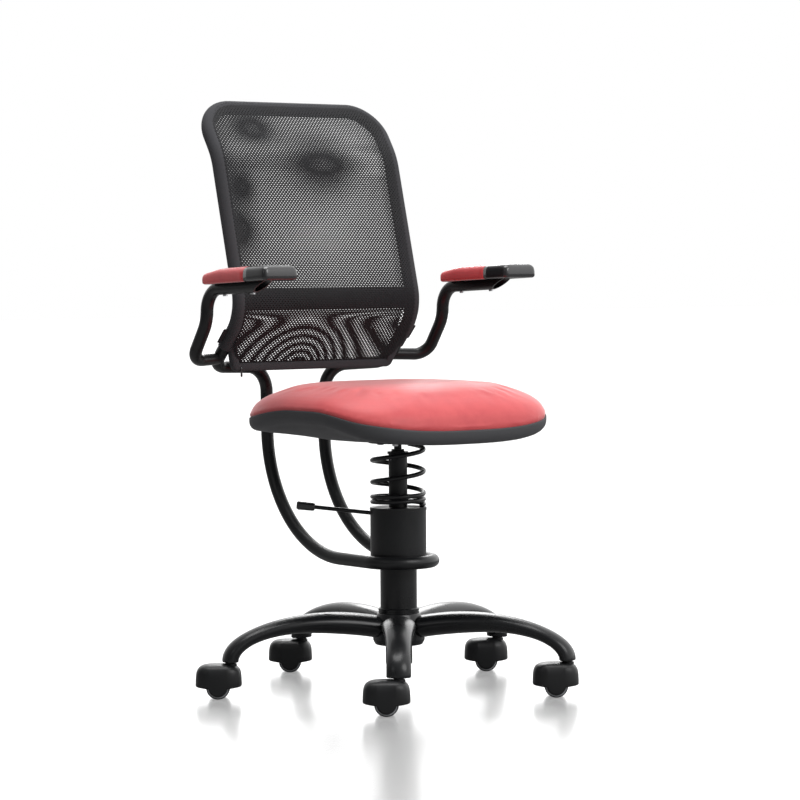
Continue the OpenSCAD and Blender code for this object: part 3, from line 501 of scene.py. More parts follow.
def place(piece: bpy.types.Object, body: Body | str, finish: Finish, *nodes: str) -> bpy.types.Object:
    """Dresses a new piece, ties it to a body and hides what it stands for.

    Args:
        piece: the new piece.
        body: the body it rides on.
        finish: its finish.
        nodes: the frame's nodes that it replaces.

    Returns:
        The piece.
    """
    dress(piece, finish)
    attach(piece, body.value if isinstance(body, Body) else body)
    if nodes:
        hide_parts(*nodes)
    LOG.info("%s on %s: %d faces", piece.name, body, len(piece.data.polygons))
    return piece


@dataclass
class Base:
    """Star base: hub, collar and five arched legs on the castor circle."""

    stem_circle: float = 0.299
    first_turn: float = 233.0
    end_z: float = 0.062
    arch_h: float = 0.058
    root: float = 0.032
    root_drop: float = 0.012
    root_size: tuple[float, float] = (0.0585, 0.038)
    tip_size: tuple[float, float] = (0.0405, 0.027)
    waist_h: float = 0.024
    taper: tuple[float, float] = (0.08, 0.1)
    tip_from: float = 0.7
    tip_run: float = 0.3
    arch_share: float = 0.4
    nose_share: float = 0.03
    hub_bore: float = 0.0319
    hub_neck: float = 0.0075
    rings: int = 64
    sides: int = 40

    def middle(self, t: float) -> np.ndarray:
        """Returns (radius, height) of a leg's middle line at share t."""
        arch = self.stem_circle / 2
        if t < self.arch_share:
            r = self.root + (arch - self.root) * t / self.arch_share
            u = (arch - r) / (arch - self.root)
            return np.array([r, self.end_z + self.arch_h - self.root_drop * u * u])
        a = math.radians(90 * (1 - (t - self.arch_share) / (1 - self.arch_share)))
        r = arch + (self.stem_circle - arch) * math.cos(a)
        return np.array([r, self.end_z + self.arch_h * math.sin(a)])

    def leg(self, number: int) -> bpy.types.Object:
        """Builds one leg with its round nose at the hub and its end turned down over the castor."""
        heading = math.radians(self.first_turn + 72 * (number - 1))
        out = np.array([math.cos(heading), math.sin(heading)])
        side = np.array([-out[1], out[0]])
        rings = []
        shares = [0.0005, 0.004, 0.012, 0.024, *np.linspace(0.04, 1, self.rings)]
        for t in shares:
            p = self.middle(t)
            way = unit(self.middle(min(1, t + 0.01)) - self.middle(max(0, t - 0.01)))
            if t == 1:
                way = np.array([0.0, -1.0])
            s = smooth((p[0] - self.taper[0]) / (self.stem_circle - self.taper[1]))
            nose = math.sqrt(1 - (1 - t / self.nose_share) ** 2) if t < self.nose_share else 1
            w = (self.root_size[0] + (self.tip_size[0] - self.root_size[0]) * s) / 2 * nose
            h = (self.root_size[1] + (self.waist_h - self.root_size[1]) * s
                 + (self.tip_size[1] - self.waist_h) * smooth((t - self.tip_from) / self.tip_run)) / 2 * nose
            rings.append(self.ring(p, way, w, h, out, side))
        foot = self.middle(1)
        for inset, drop in ((0.0004, 0.0008), (0.0016, 0.0015), (0.006, 0.0015)):
            rings.append(self.ring(foot - [0, drop], np.array([0.0, -1.0]), self.tip_size[0] / 2 - inset,
                                   self.tip_size[1] / 2 - inset, out, side))
        return skin(f"leg_{number}", rings)

    def ring(self, p: np.ndarray, way: np.ndarray, w: float, h: float, out: np.ndarray,
             side: np.ndarray) -> Ring:
        """Returns one oval section of a leg."""
        ring = []
        for a in round_turn(self.sides):
            across, rise = w * math.cos(a), h * math.sin(a)
            r, z = p[0] - way[1] * rise, p[1] + way[0] * rise
            ring.append((*(out * r + side * across), z))
        return ring

    def hub(self) -> bpy.types.Object:
        """Builds the bell-shaped hub with its domed shoulder."""
        low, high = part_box("base_hub")
        r = (high.x - low.x) / 2
        outline = rounded_profile(
            [(self.hub_bore, low.z), (r - 0.004, low.z), (r, low.z + 0.008), (r, low.z + 0.036),
             (r - self.hub_neck, high.z), (self.hub_bore, high.z)],
            [0.001, 0.003, 0.006, 0.012, 0.002, 0.0005])
        return turned("hub", outline, sides=128)

    def build(self) -> None:
        """Builds and places the hub and the legs."""
        place(self.hub(), Body.BASE, GLOSS_BASE, "base_hub")
        for k in range(1, 6):
            place(self.leg(k), Body.BASE, GLOSS_BASE, f"base_leg_{k}")


@dataclass
class Castors:
    """Hooded twin-wheel castors."""

    stem_circle: float = 0.299
    first_turn: float = 233.0
    trail: float = 0.020
    trail_turn: float = 143.0
    radius: float = 0.039
    half_w: float = 0.030
    top_z: float = 0.058
    skirt_z: float = 0.016
    lobe: float = 0.0147
    axle_z: float = 0.020
    wheel_r: float = 0.020
    wheel_w: float = 0.019
    wheel_from: float = 0.0056
    bore: float = 0.0034
    cheek_w: float = 0.007
    cheek_blend: float = 0.003
    skirt_rise: float = 0.0045
    neck_r: float = 0.0098
    neck_bore: float = 0.0042
    neck_step: float = 0.0012
    neck_z: float = 0.05
    leg_z: float = 0.062
    power: float = 3.0
    sides: int = 144
    wheel_sides: int = 64

    def spots(self, number: int) -> tuple[np.ndarray, np.ndarray, np.ndarray]:
        """Returns a castor's stem place, its trailing direction and its axle direction."""
        leg = math.radians(self.first_turn + 72 * (number - 1))
        back = math.radians(self.trail_turn)
        out = np.array([math.cos(back), math.sin(back)])
        return np.array([math.cos(leg), math.sin(leg)]) * self.stem_circle, out, np.array([-out[1], out[0]])

    def hood(self, number: int) -> bpy.types.Object:
        """Builds one hood: a domed cap with a cheek over each wheel, open underneath."""
        stem, out, side = self.spots(number)
        middle = stem + out * self.trail
        rings = []
        for drop, inset in self.dome():
            rings.append([self.spot(middle, out, side, a, drop, inset)
                          for a in np.linspace(0, 2 * math.pi, self.sides, endpoint=False)])
        return skin(f"castor_{number}_shell", rings)

    def dome(self) -> list[tuple[float, float]]:
        """Returns (share of the way down, inset) of each ring, down the outside and up the inside."""
        outside = [(0.0, 0.036), (0.003, 0.030), (0.010, 0.0245), (0.024, 0.0195), (0.044, 0.0152),
                   (0.072, 0.0116), (0.108, 0.0086), (0.15, 0.0064), (0.2, 0.0046), (0.26, 0.0031),
                   (0.33, 0.0020), (0.42, 0.0012), (0.55, 0.0006), (0.75, 0.0002), (0.96, 0.0),
                   (0.985, 0.0002), (1.0, 0.0009)]
        inside = [(1.0, 0.0017), (0.98, 0.0024), (0.7, 0.0028), (0.42, 0.0036), (0.3, 0.006), (0.22, 0.012),
                  (0.19, 0.025)]
        return outside + inside

    def spot(self, middle: np.ndarray, out: np.ndarray, side: np.ndarray, a: float, drop: float,
             inset: float) -> Point:
        """Returns a point of the hood at angle a."""
        share = 1 - inset / self.radius
        reach = share / (abs(math.cos(a) / self.radius) ** self.power
                         + abs(math.sin(a) / self.half_w) ** self.power) ** (1 / self.power)
        u, v = reach * math.cos(a), reach * math.sin(a)
        cheek = smooth((abs(v) / share - self.half_w + self.cheek_w) / self.cheek_blend)
        low = self.skirt_z + self.skirt_rise * min(1.0, abs(u) / self.radius)
        if abs(u) < self.lobe:
            round_z = self.axle_z - math.sqrt(max(0.0, self.lobe ** 2 - u * u))
            low = low + (min(low, round_z) - low) * cheek
        z = self.top_z - (self.top_z - low) * drop
        p = middle + out * u + side * v
        return (float(p[0]), float(p[1]), float(z))

    def neck(self, number: int) -> bpy.types.Object:
        """Builds the stepped neck round the stem, between the hood and the leg."""
        stem, _, _ = self.spots(number)
        wide, slim, top = self.neck_r + self.neck_step, self.neck_r - self.neck_step, self.leg_z
        outline = rounded_profile(
            [(self.neck_bore, self.neck_z), (wide, self.neck_z), (wide, top - 0.0042), (slim, top - 0.0036),
             (slim, top - 0.0016), (self.neck_bore, top - 0.0016)],
            [0, 0.0005, 0.0006, 0.0003, 0.0004, 0])
        return turned(f"castor_{number}_neck", outline, (stem[0], stem[1], 0.0), self.wheel_sides)

    def round_axle(self, name: str, number: int, profiles: Sequence[Sequence[tuple[float, float]]]
                   ) -> bpy.types.Object:
        """Turns closed (radius, distance from the middle) profiles about the axle, on both sides."""
        stem, out, side = self.spots(number)
        middle = np.array([*(stem + out * self.trail), self.axle_z])
        ahead, across = np.array([*out, 0.0]), np.array([*side, 0.0])
        points, faces = [], []
        for sign in (-1, 1):
            for profile in profiles:
                start, count = len(points), len(profile)
                for a in np.linspace(0, 2 * math.pi, self.wheel_sides, endpoint=False):
                    way = ahead * math.cos(a) + np.array([0, 0, math.sin(a)])
                    points += [middle + way * r + across * sign * w for r, w in profile]
                for i in range(self.wheel_sides):
                    for j in range(count):
                        k, n = (j + 1) % count, (i + 1) % self.wheel_sides
                        face = (start + i * count + j, start + n * count + j, start + n * count + k,
                                start + i * count + k)
                        faces.append(face if sign > 0 else face[::-1])
        made = mesh_object(name, points, faces)
        turn_outwards(made)
        return made

    def wheels(self, number: int) -> bpy.types.Object:
        """Builds both wheels with their rounded treads and dished sides."""
        r, a, b = self.wheel_r, self.wheel_from, self.wheel_from + self.wheel_w
        outline = rounded_profile(
            [(self.bore, a), (r, a), (r, b), (r - 0.0016, b), (r - 0.0024, b - 0.0016), (0.008, b - 0.0018),
             (0.007, b), (self.bore, b)],
            [0.0003, 0.0024, 0.0012, 0.0004, 0.0005, 0.0005, 0.0005, 0.0003], steps=4)
        return self.round_axle(f"castor_{number}_rollers", number, [outline])

    def highlight_rings(self, number: int) -> bpy.types.Object:
        """Builds the pale ring set into each wheel's outer side: a painted highlight for the light that the
        tread's edge catches.
        """
        r, b = self.wheel_r, self.wheel_from + self.wheel_w
        inner, outer, deep, proud = r - 0.0037, r - 0.0022, b - 0.0022, b + 0.0001
        outline = rounded_profile([(inner, deep), (outer, deep), (outer, proud), (inner, proud)],
                                  [0.0001, 0.0001, 0.0004, 0.0004], steps=3)
        return self.round_axle(f"castor_{number}_rims", number, [outline])

    def build(self) -> None:
        """Builds and places the five castors."""
        for k in range(1, 6):
            place(self.hood(k), f"castor_{k}", HOOD, f"castor_{k}_hood")
            place(self.neck(k), f"castor_{k}", HOOD, f"castor_{k}_hood")
            place(self.wheels(k), f"wheels_{k}", WHEEL, f"castor_{k}_wheels")
            # The pale rings are a painted highlight on the wheels.
            place(self.highlight_rings(k), f"wheels_{k}", WHEEL_PAINTED_HIGHLIGHT, f"castor_{k}_wheels")
            dress(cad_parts[f"castor_{k}_pins"], PIN)


@dataclass
class SeatSpring:
    """Coil spring between the housing and the seat plate."""

    wire: float = 0.004
    radius: float = 0.044
    foot_z: float = 0.3183
    head_z: float = 0.4197
    open_turns: float = 2.25
    close_turns: float = 2.0
    close_pitch: float = 0.0086
    first_turn: float = 298.0
    cross_z: float = 0.375
    held_below: float = 0.336
    held_above: float = 0.415
    steps: int = 48
    sides: int = 14

    def height(self, turns: float) -> float:
        """Returns the wire's height after a number of turns."""
        if turns <= self.close_turns:
            return self.foot_z + self.close_pitch * turns
        start = self.foot_z + self.close_pitch * self.close_turns
        return start + (self.head_z - start) * (turns - self.close_turns) / self.open_turns

    def path(self, low: float, high: float) -> np.ndarray:
        """Returns the wire's middle line between two counts of turns."""
        count = round((high - low) * self.steps)
        points = []
        for i in range(count + 1):
            t = low + (high - low) * i / count
            a = math.radians(self.first_turn) + 2 * math.pi * t
            points.append((self.radius * math.cos(a), self.radius * math.sin(a), self.height(t)))
        return np.array(points)

    def build(self) -> None:
        """Builds the wire in two lengths, split where it passes the cross's height."""
        start = self.foot_z + self.close_pitch * self.close_turns
        split = self.close_turns + self.open_turns * (self.cross_z - start) / (self.head_z - start)
        top = self.close_turns + self.open_turns
        for name, low, high, bodies, span in (
                ("spring_lower", 0.0, split, (Body.FRAME, Body.CROSS), (self.held_below, self.cross_z)),
                ("spring_upper", split, top, (Body.CROSS, Body.SEAT), (self.cross_z, self.held_above))):
            wire = tube(name, self.path(low, high), self.wire, self.sides)
            dress(wire, SPRING)
            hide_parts("seat_spring")
            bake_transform(wire)
            LOG.info("%s between %s and %s", name, bodies[0], bodies[1])


@dataclass
class Sleeve:
    """Mesh sleeve pulled over the back tube: two nets, edge, hem, belt and tabs.

    Angles are from the vertical. The values from align to arc_fade place the rear net's stitches, counted
    in cells across and in rows along: align everywhere, curl_pull over the curled top, clouds as (x, height
    over the belt, spread along both, pull), and the rest below the belt.
    """

    half_w: float = 0.187
    top_z: float = 1.006
    lumbar: tuple[float, float] = (0.195, 0.645)
    recline: float = math.radians(14.6)
    lean: float = math.radians(44)
    lumbar_bend: float = 0.075
    curl_z: float = 0.920
    curl: float = math.radians(33.5)
    curl_bend: float = 0.120
    top_bend: float = 0.061
    edge_r: float = 0.0125
    foot_z: float = 0.588
    hem: tuple[float, float] = (0.252, 0.558)
    hem_half_w: float = 0.163
    pitch: float = 0.0064
    open_share: float = 0.48
    net_half_w: float = 0.1835
    narrow_half_w: float = 0.1752
    narrow_z: float = 0.646
    belt_h: float = 0.038
    belt_half_w: float = 0.1765
    belt_forward: float = 0.0089
    belt_t: float = 0.0019
    align: tuple[float, float] = (-0.2, 0.2)
    clouds: tuple[tuple[float, ...], ...] = (
        (0.045, 0.268, 0.07, 0.055, 0.5), (-0.085, 0.34, 0.04, 0.03, 0.45),
        (-0.138, 0.225, 0.026, 0.03, 0.4), (-0.15, 0.148, 0.028, 0.036, 0.4))
    curl_start: float = 0.245
    curl_run: float = 0.07
    curl_pull: tuple[float, float] = (0.55, 0.9)
    slant: float = 0.8
    level_start: float = -0.29
    level_rise: float = 4.9
    arc_x: float = -0.029
    arc_reach: float = 0.13
    arc_span: float = 0.0815
    arc_count: float = 5.0
    arc_start: float = 4.88
    arc_rise: float = 24.5
    arc_fade: float = 0.018
    net_sink: float = 0.0004
    net_over: float = 0.003
    net_corner_less: float = 0.003
    hem_gap: float = 0.005
    front_turn: float = math.radians(-35)
    rear_turn: float = math.radians(-24)
    arc_steps: tuple[int, int] = (24, 16)
    cloth_sides: int = 24
    belt_sides: int = 40
    mitre: float = 0.04
    hem_rise: float = 0.010
    hem_section: tuple[float, float] = (0.0078, 0.0072)
    seam_bend: float = 0.006
    belt_drop: float = 0.004
    zip_at: Point = (0.0065, -0.0079, -0.012)
    zip_rise: float = 0.006
    tab_up: float = 0.019
    tab_out: float = 0.003
    tab_half: tuple[float, float, float] = (0.0058, 0.0165, 0.0009)

    def lower_y(self, z: float) -> float:
        """Returns how far back the tube lies below the lumbar bend."""
        return self.lumbar[0] + (self.lumbar[1] - z) * math.tan(self.lean)

    def upper_y(self, z: float) -> float:
        """Returns how far back the tube lies above the lumbar bend."""
        straight = (min(z, self.curl_z) - self.lumbar[1]) * math.tan(self.recline)
        return self.lumbar[0] + straight + max(0.0, z - self.curl_z) * math.tan(self.curl)

    def centre(self) -> np.ndarray:
        """Returns (y, z) of the lumbar bend's centre."""
        return self.bend_centre(self.lumbar, self.lumbar_bend, -self.lean, self.recline)

    def bend_centre(self, corner: tuple[float, float], radius: float, low: float,
                    high: float) -> np.ndarray:
        """Returns (y, z) of the centre of a bend between two leans."""
        mid = (low + high) / 2
        inward = np.array([math.cos(mid), -math.sin(mid)])
        return np.array(corner) + inward * radius / math.cos((high - low) / 2)

    def bend_arc(self, centre: np.ndarray, radius: float, low: float, high: float,
                 count: int) -> list[np.ndarray]:
        """Returns (y, z) points round a bend, from the lower lean to the higher."""
        return [centre - radius * np.array([math.cos(a), -math.sin(a)])
                for a in np.linspace(low, high, count)]

    def edge(self) -> bpy.types.Object:
        """Builds the cloth that wraps the tube."""
        side = [(-self.half_w, self.lower_y(self.foot_z), self.foot_z), (-self.half_w, *self.lumbar),
                (-self.half_w, self.upper_y(self.curl_z), self.curl_z),
                (-self.half_w, self.upper_y(self.top_z), self.top_z)]
        other = [(-x, y, z) for x, y, z in reversed(side)]
        bends = [0, self.lumbar_bend, self.curl_bend, self.top_bend]
        bends += bends[::-1]
        return tube("sleeve_border", bent_path(side + other, bends, 0.004), self.edge_r, 36)

    def side_line(self, offset: float, low_turn: float, foot_y: float) -> np.ndarray:
        """Returns (y, z) points of a net's side view, from the hem to the top.

        Args:
            offset: how far behind the tube's middle plane the net lies.
            low_turn: where the net leaves the lumbar bend, radians.
            foot_y: how far back it ends at the hem.
        """
        arc = self.bend_arc(self.centre(), self.lumbar_bend - offset, low_turn, self.recline,
                            self.arc_steps[0])
        corner = (self.upper_y(self.curl_z), self.curl_z)
        middle = self.bend_centre(corner, self.curl_bend, self.recline, self.curl)
        arc += self.bend_arc(middle, self.curl_bend - offset, self.recline, self.curl, self.arc_steps[1])
        rise = self.top_z - offset * math.sin(self.curl) + self.net_over - arc[-1][1]
        top = arc[-1] + np.array([math.tan(self.curl), 1.0]) * rise
        return np.array([np.array([foot_y, self.hem[1]]), *arc, top])

    def net(self, name: str, offset: float, low_turn: float, foot_y: float, drift: Callable | None,
            narrow: bool) -> bpy.types.Object:
        """Builds one net from the flat cells that the node tree makes, bent to the sleeve's shape.

        Args:
            name: the net's name.
            offset: how far behind the tube's middle plane it lies.
            low_turn: where it leaves the lumbar bend, radians.
            foot_y: how far back it ends at the hem.
            drift: how far a spot's stitches are pulled sideways, or None.
            narrow: whether it passes between the tubes below the lumbar bend.

        Returns:
            The net.
        """
        line = self.side_line(offset, low_turn, foot_y)
        steps = np.linalg.norm(np.diff(line, axis=0), axis=1)
        reach = np.concatenate([[0.0], np.cumsum(steps)])
        length = float(reach[-1])
        belt_v = float(np.interp(self.narrow_z, line[:, 1], reach))
        middle = length / 2 + (belt_v - length / 2) % (2 * self.pitch * ROW_SHARE)
        flat = flat_net(self.pitch, (self.net_half_w, length - middle), self.top_bend, self.open_share,
                        belt_v - middle)
        co = np.array([v.co for v in flat.vertices], float)
        co[:, 1] += middle
        if drift:
            co[:, :2] += np.stack(drift(co[:, 0], co[:, 1], belt_v), axis=1)
        faces = [tuple(p.vertices) for p in flat.polygons]
        inside = self.outline_test(length, belt_v if narrow else 0.0)
        kept = [f for f in faces if inside(*co[list(f)].mean(axis=0)[:2])]
        used = sorted({i for f in kept for i in f})
        index = {old: new for new, old in enumerate(used)}
        u, v, w = co[used].T
        v = np.clip(v, 0, length)
        y = np.interp(v, reach, line[:, 0])
        z = np.interp(v, reach, line[:, 1])
        way = np.array([np.gradient(line[:, 0], reach), np.gradient(line[:, 1], reach)])
        ny, nz = np.interp(v, reach, way[1]), -np.interp(v, reach, way[0])
        points = np.stack([u, y + ny * w, z + nz * w], axis=1)
        made = mesh_object(name, points, [tuple(index[i] for i in f) for f in kept])
        bpy.data.meshes.remove(flat)
        place(made, Body.FRAME, NET, name.replace("net", "mesh"))
        return made

    def outline_test(self, length: float, narrow_v: float) -> Callable[[float, float], bool]:
        """Returns the test of whether a flat spot lies inside the net's outline."""
        half, bend = self.net_half_w, self.top_bend - self.net_corner_less

        def inside(x: float, v: float) -> bool:
            """Tells whether the spot is inside."""
            x = abs(x)
            limit = self.narrow_half_w if v < narrow_v else half
            if x > limit or v < 0 or v > length:
                return False
            if v > length - bend and x > half - bend:
                return math.hypot(x - half + bend, v - length + bend) < bend
            return x < self.hem_half_w + (half - self.hem_half_w) * v / self.mitre
        return inside

    def drift(self, x: np.ndarray, v: np.ndarray, belt_v: float) -> tuple[np.ndarray, np.ndarray]:
        """Returns how far the rear net's stitches are pulled along X and along its length.

        The pull turns the two nets' overlap light and dark: clouds above the belt, arcs below it.
        """
        up = v - belt_v
        curled = np.clip((up - self.curl_start) / self.curl_run, 0, 1)
        across, along = (start + pull * curled for start, pull in zip(self.align, self.curl_pull))
        for middle_x, middle_up, spread_x, spread_up, share in self.clouds:
            far = ((x - middle_x) / spread_x) ** 2 + ((up - middle_up) / spread_up) ** 2
            across = across + share * np.exp(-far)
        level = self.slant * x + self.level_rise * up + self.level_start
        reach = self.arc_reach * np.tanh(np.hypot(x - self.arc_x, v) / self.arc_reach)
        arcs = self.arc_start + self.slant * x + self.arc_rise * up - self.arc_count * reach / self.arc_span
        low = np.clip(-up / self.arc_fade, 0, 1)
        across = across + (0.5 * (arcs + level) - across) * low
        along = along + (level - arcs - along) * low
        return self.pitch * across, self.pitch * ROW_SHARE * along

    def seam(self, name: str, path: Sequence[Point], across: float, deep: float) -> bpy.types.Object:
        """Sweeps a rounded strip of cloth along a path that lies nearly in one plane."""
        line = bent_path(path, [0] + [self.seam_bend] * (len(path) - 2) + [0])
        ahead = np.gradient(line, axis=0)
        ahead /= np.linalg.norm(ahead, axis=1)[:, None]
        rings = []
        for p, way in zip(line, ahead):
            out = unit(np.array([0.0, 1.0, 0.0]) - way * way[1])
            down = np.cross(way, out)
            ring = []
            for a in round_turn(self.cloth_sides):
                c, d = squarish(a, 0.6)
                ring.append(tuple(p + down * across * c + out * deep * d))
            rings.append(ring)
        return skin(name, rings)

    def hem_piece(self) -> bpy.types.Object:
        """Builds the bound lower edge: along the bottom and up both slanted corners."""
        y, z = self.hem
        half = self.hem_half_w
        top = self.foot_z + self.hem_rise
        corner = (self.half_w - 0.006, self.lower_y(top) - 0.001, top)
        side = [(-corner[0], corner[1], corner[2]), (-half - 0.002, y, z - 0.006)]
        other = [(-x, b, c) for x, b, c in reversed(side)]
        return self.seam("hem_binding", side + other, *self.hem_section)

    def zip(self) -> bpy.types.Object:
        """Builds the zip's slider pull."""
        x, y, z = self.zip_at[0] - self.hem_half_w, self.hem[0] + self.zip_at[1], self.hem[1] + self.zip_at[2]
        rings = []
        for drop, half, thick in ((0.0, 0.0005, 0.0003), (0.0008, 0.0018, 0.0009), (0.004, 0.0024, 0.0011),
                                  (0.007, 0.0012, 0.0008), (0.009, 0.0012, 0.0008), (0.012, 0.0021, 0.0009),
                                  (0.016, 0.0022, 0.0009), (0.0175, 0.0014, 0.0007), (0.018, 0.0004, 0.0003)):
            rings.append([(x + half * math.cos(a), y + thick * math.sin(a), z + self.zip_rise - drop)
                          for a in np.linspace(0, 2 * math.pi, 20, endpoint=False)])
        return skin("zip_slider", rings)

    def belt(self) -> bpy.types.Object:
        """Builds the lumbar belt, a soft band that follows the bend between the two nets."""
        middle = self.centre()
        radius = self.lumbar_bend + self.belt_forward
        mid_turn = math.asin(self.belt_drop / radius)
        rings = []
        for share in (-1.0, *np.linspace(-0.997, 0.997, 60), 1.0):
            thick = self.belt_t / 2 * math.sqrt(max(0.02, 1 - abs(share) ** 60))
            ring = []
            for a in round_turn(self.belt_sides):
                c, d = squarish(a, 0.35)
                turn = mid_turn + self.belt_h / 2 * c / radius
                r = radius + thick * d
                ring.append((self.belt_half_w * share, float(middle[0] - r * math.cos(turn)),
                             float(middle[1] + r * math.sin(turn))))
            rings.append(ring)
        return skin("belt_band", rings)

    def tab(self, name: str, sign: int) -> bpy.types.Object:
        """Builds the small folded tab sewn beside one lower corner."""
        z = self.foot_z + self.tab_up
        middle = np.array([sign * (self.half_w + self.edge_r + self.tab_out), self.lower_y(z), z])
        wide, long, thick = self.tab_half
        along = np.array([0.0, -math.sin(self.lean), math.cos(self.lean)])
        out = np.array([0.0, math.cos(self.lean), math.sin(self.lean)])
        rings = []
        for t in (-1.0, -0.97, -0.9, -0.5, 0.0, 0.5, 0.9, 0.97, 1.0):
            size = math.sqrt(max(0.03, 1 - abs(t) ** 30))
            ring = []
            for a in round_turn(self.cloth_sides):
                c, d = squarish(a, 0.4)
                ring.append(tuple(middle + along * long * t + np.array([wide * c * size, 0, 0])
                                  + out * thick * d * size))
            rings.append(ring)
        return skin(name, rings)

    def build(self) -> None:
        """Builds and places all cloth of the back."""
        place(self.edge(), Body.FRAME, SLEEVE, "sleeve_edge")
        for side, sign in (("right", -1), ("left", 1)):
            place(self.tab(f"corner_tab_{side}", sign), Body.FRAME, TAB, "sleeve_edge")
        depth = self.edge_r - self.net_sink
        self.net("net_front", -depth, self.front_turn, self.hem[0] - self.hem_gap, None, False)
        self.net("net_rear", depth, self.rear_turn, self.hem[0] + self.hem_gap, self.drift, True)
        place(self.hem_piece(), Body.FRAME, SLEEVE, "mesh_hem")
        place(self.zip(), Body.FRAME, PIN, "mesh_hem")
        place(self.belt(), Body.FRAME, SLEEVE, "lumbar_belt")


def flat_net(pitch: float, half: tuple[float, float], corner: float, open_share: float,
             low_edge: float) -> bpy.types.Mesh:
    """Makes a flat net of six-sided cells with Geometry Nodes, with some to spare all round.

    Args:
        pitch: distance between neighbouring cells.
        half: half the net's width along X, and how far it runs from its middle row to its top.
        corner: radius of its upper corners.
        open_share: width of a hole over the width of its cell.
        low_edge: height along Y under which the stitches close up.

    Returns:
        The mesh, centred on the origin.
    """
    tree = net_tree()
    carrier = bpy.data.objects.new("net_carrier", bpy.data.meshes.new("net_carrier"))
    bpy.context.scene.collection.objects.link(carrier)
    modifier = carrier.modifiers.new("net", "NODES")
    modifier.node_group = tree
    rows = 4 * math.ceil((half[1] + NET_SPARE[1]) / (2 * pitch * ROW_SHARE)) + 1
    values = {"Pitch": pitch, "Columns": round(2 * (half[0] + NET_SPARE[0]) / pitch), "Rows": rows,
              "Hole Share": open_share, "Low Edge": low_edge, "Side Edge": half[0], "Top Edge": half[1],
              "Corner": corner}
    for item in tree.interface.items_tree:
        if item.in_out == "INPUT" and item.name in values:
            modifier[item.identifier] = values[item.name]
    evaluated = carrier.evaluated_get(bpy.context.evaluated_depsgraph_get())
    mesh = bpy.data.meshes.new_from_object(evaluated)
    bpy.data.objects.remove(carrier)
    return mesh


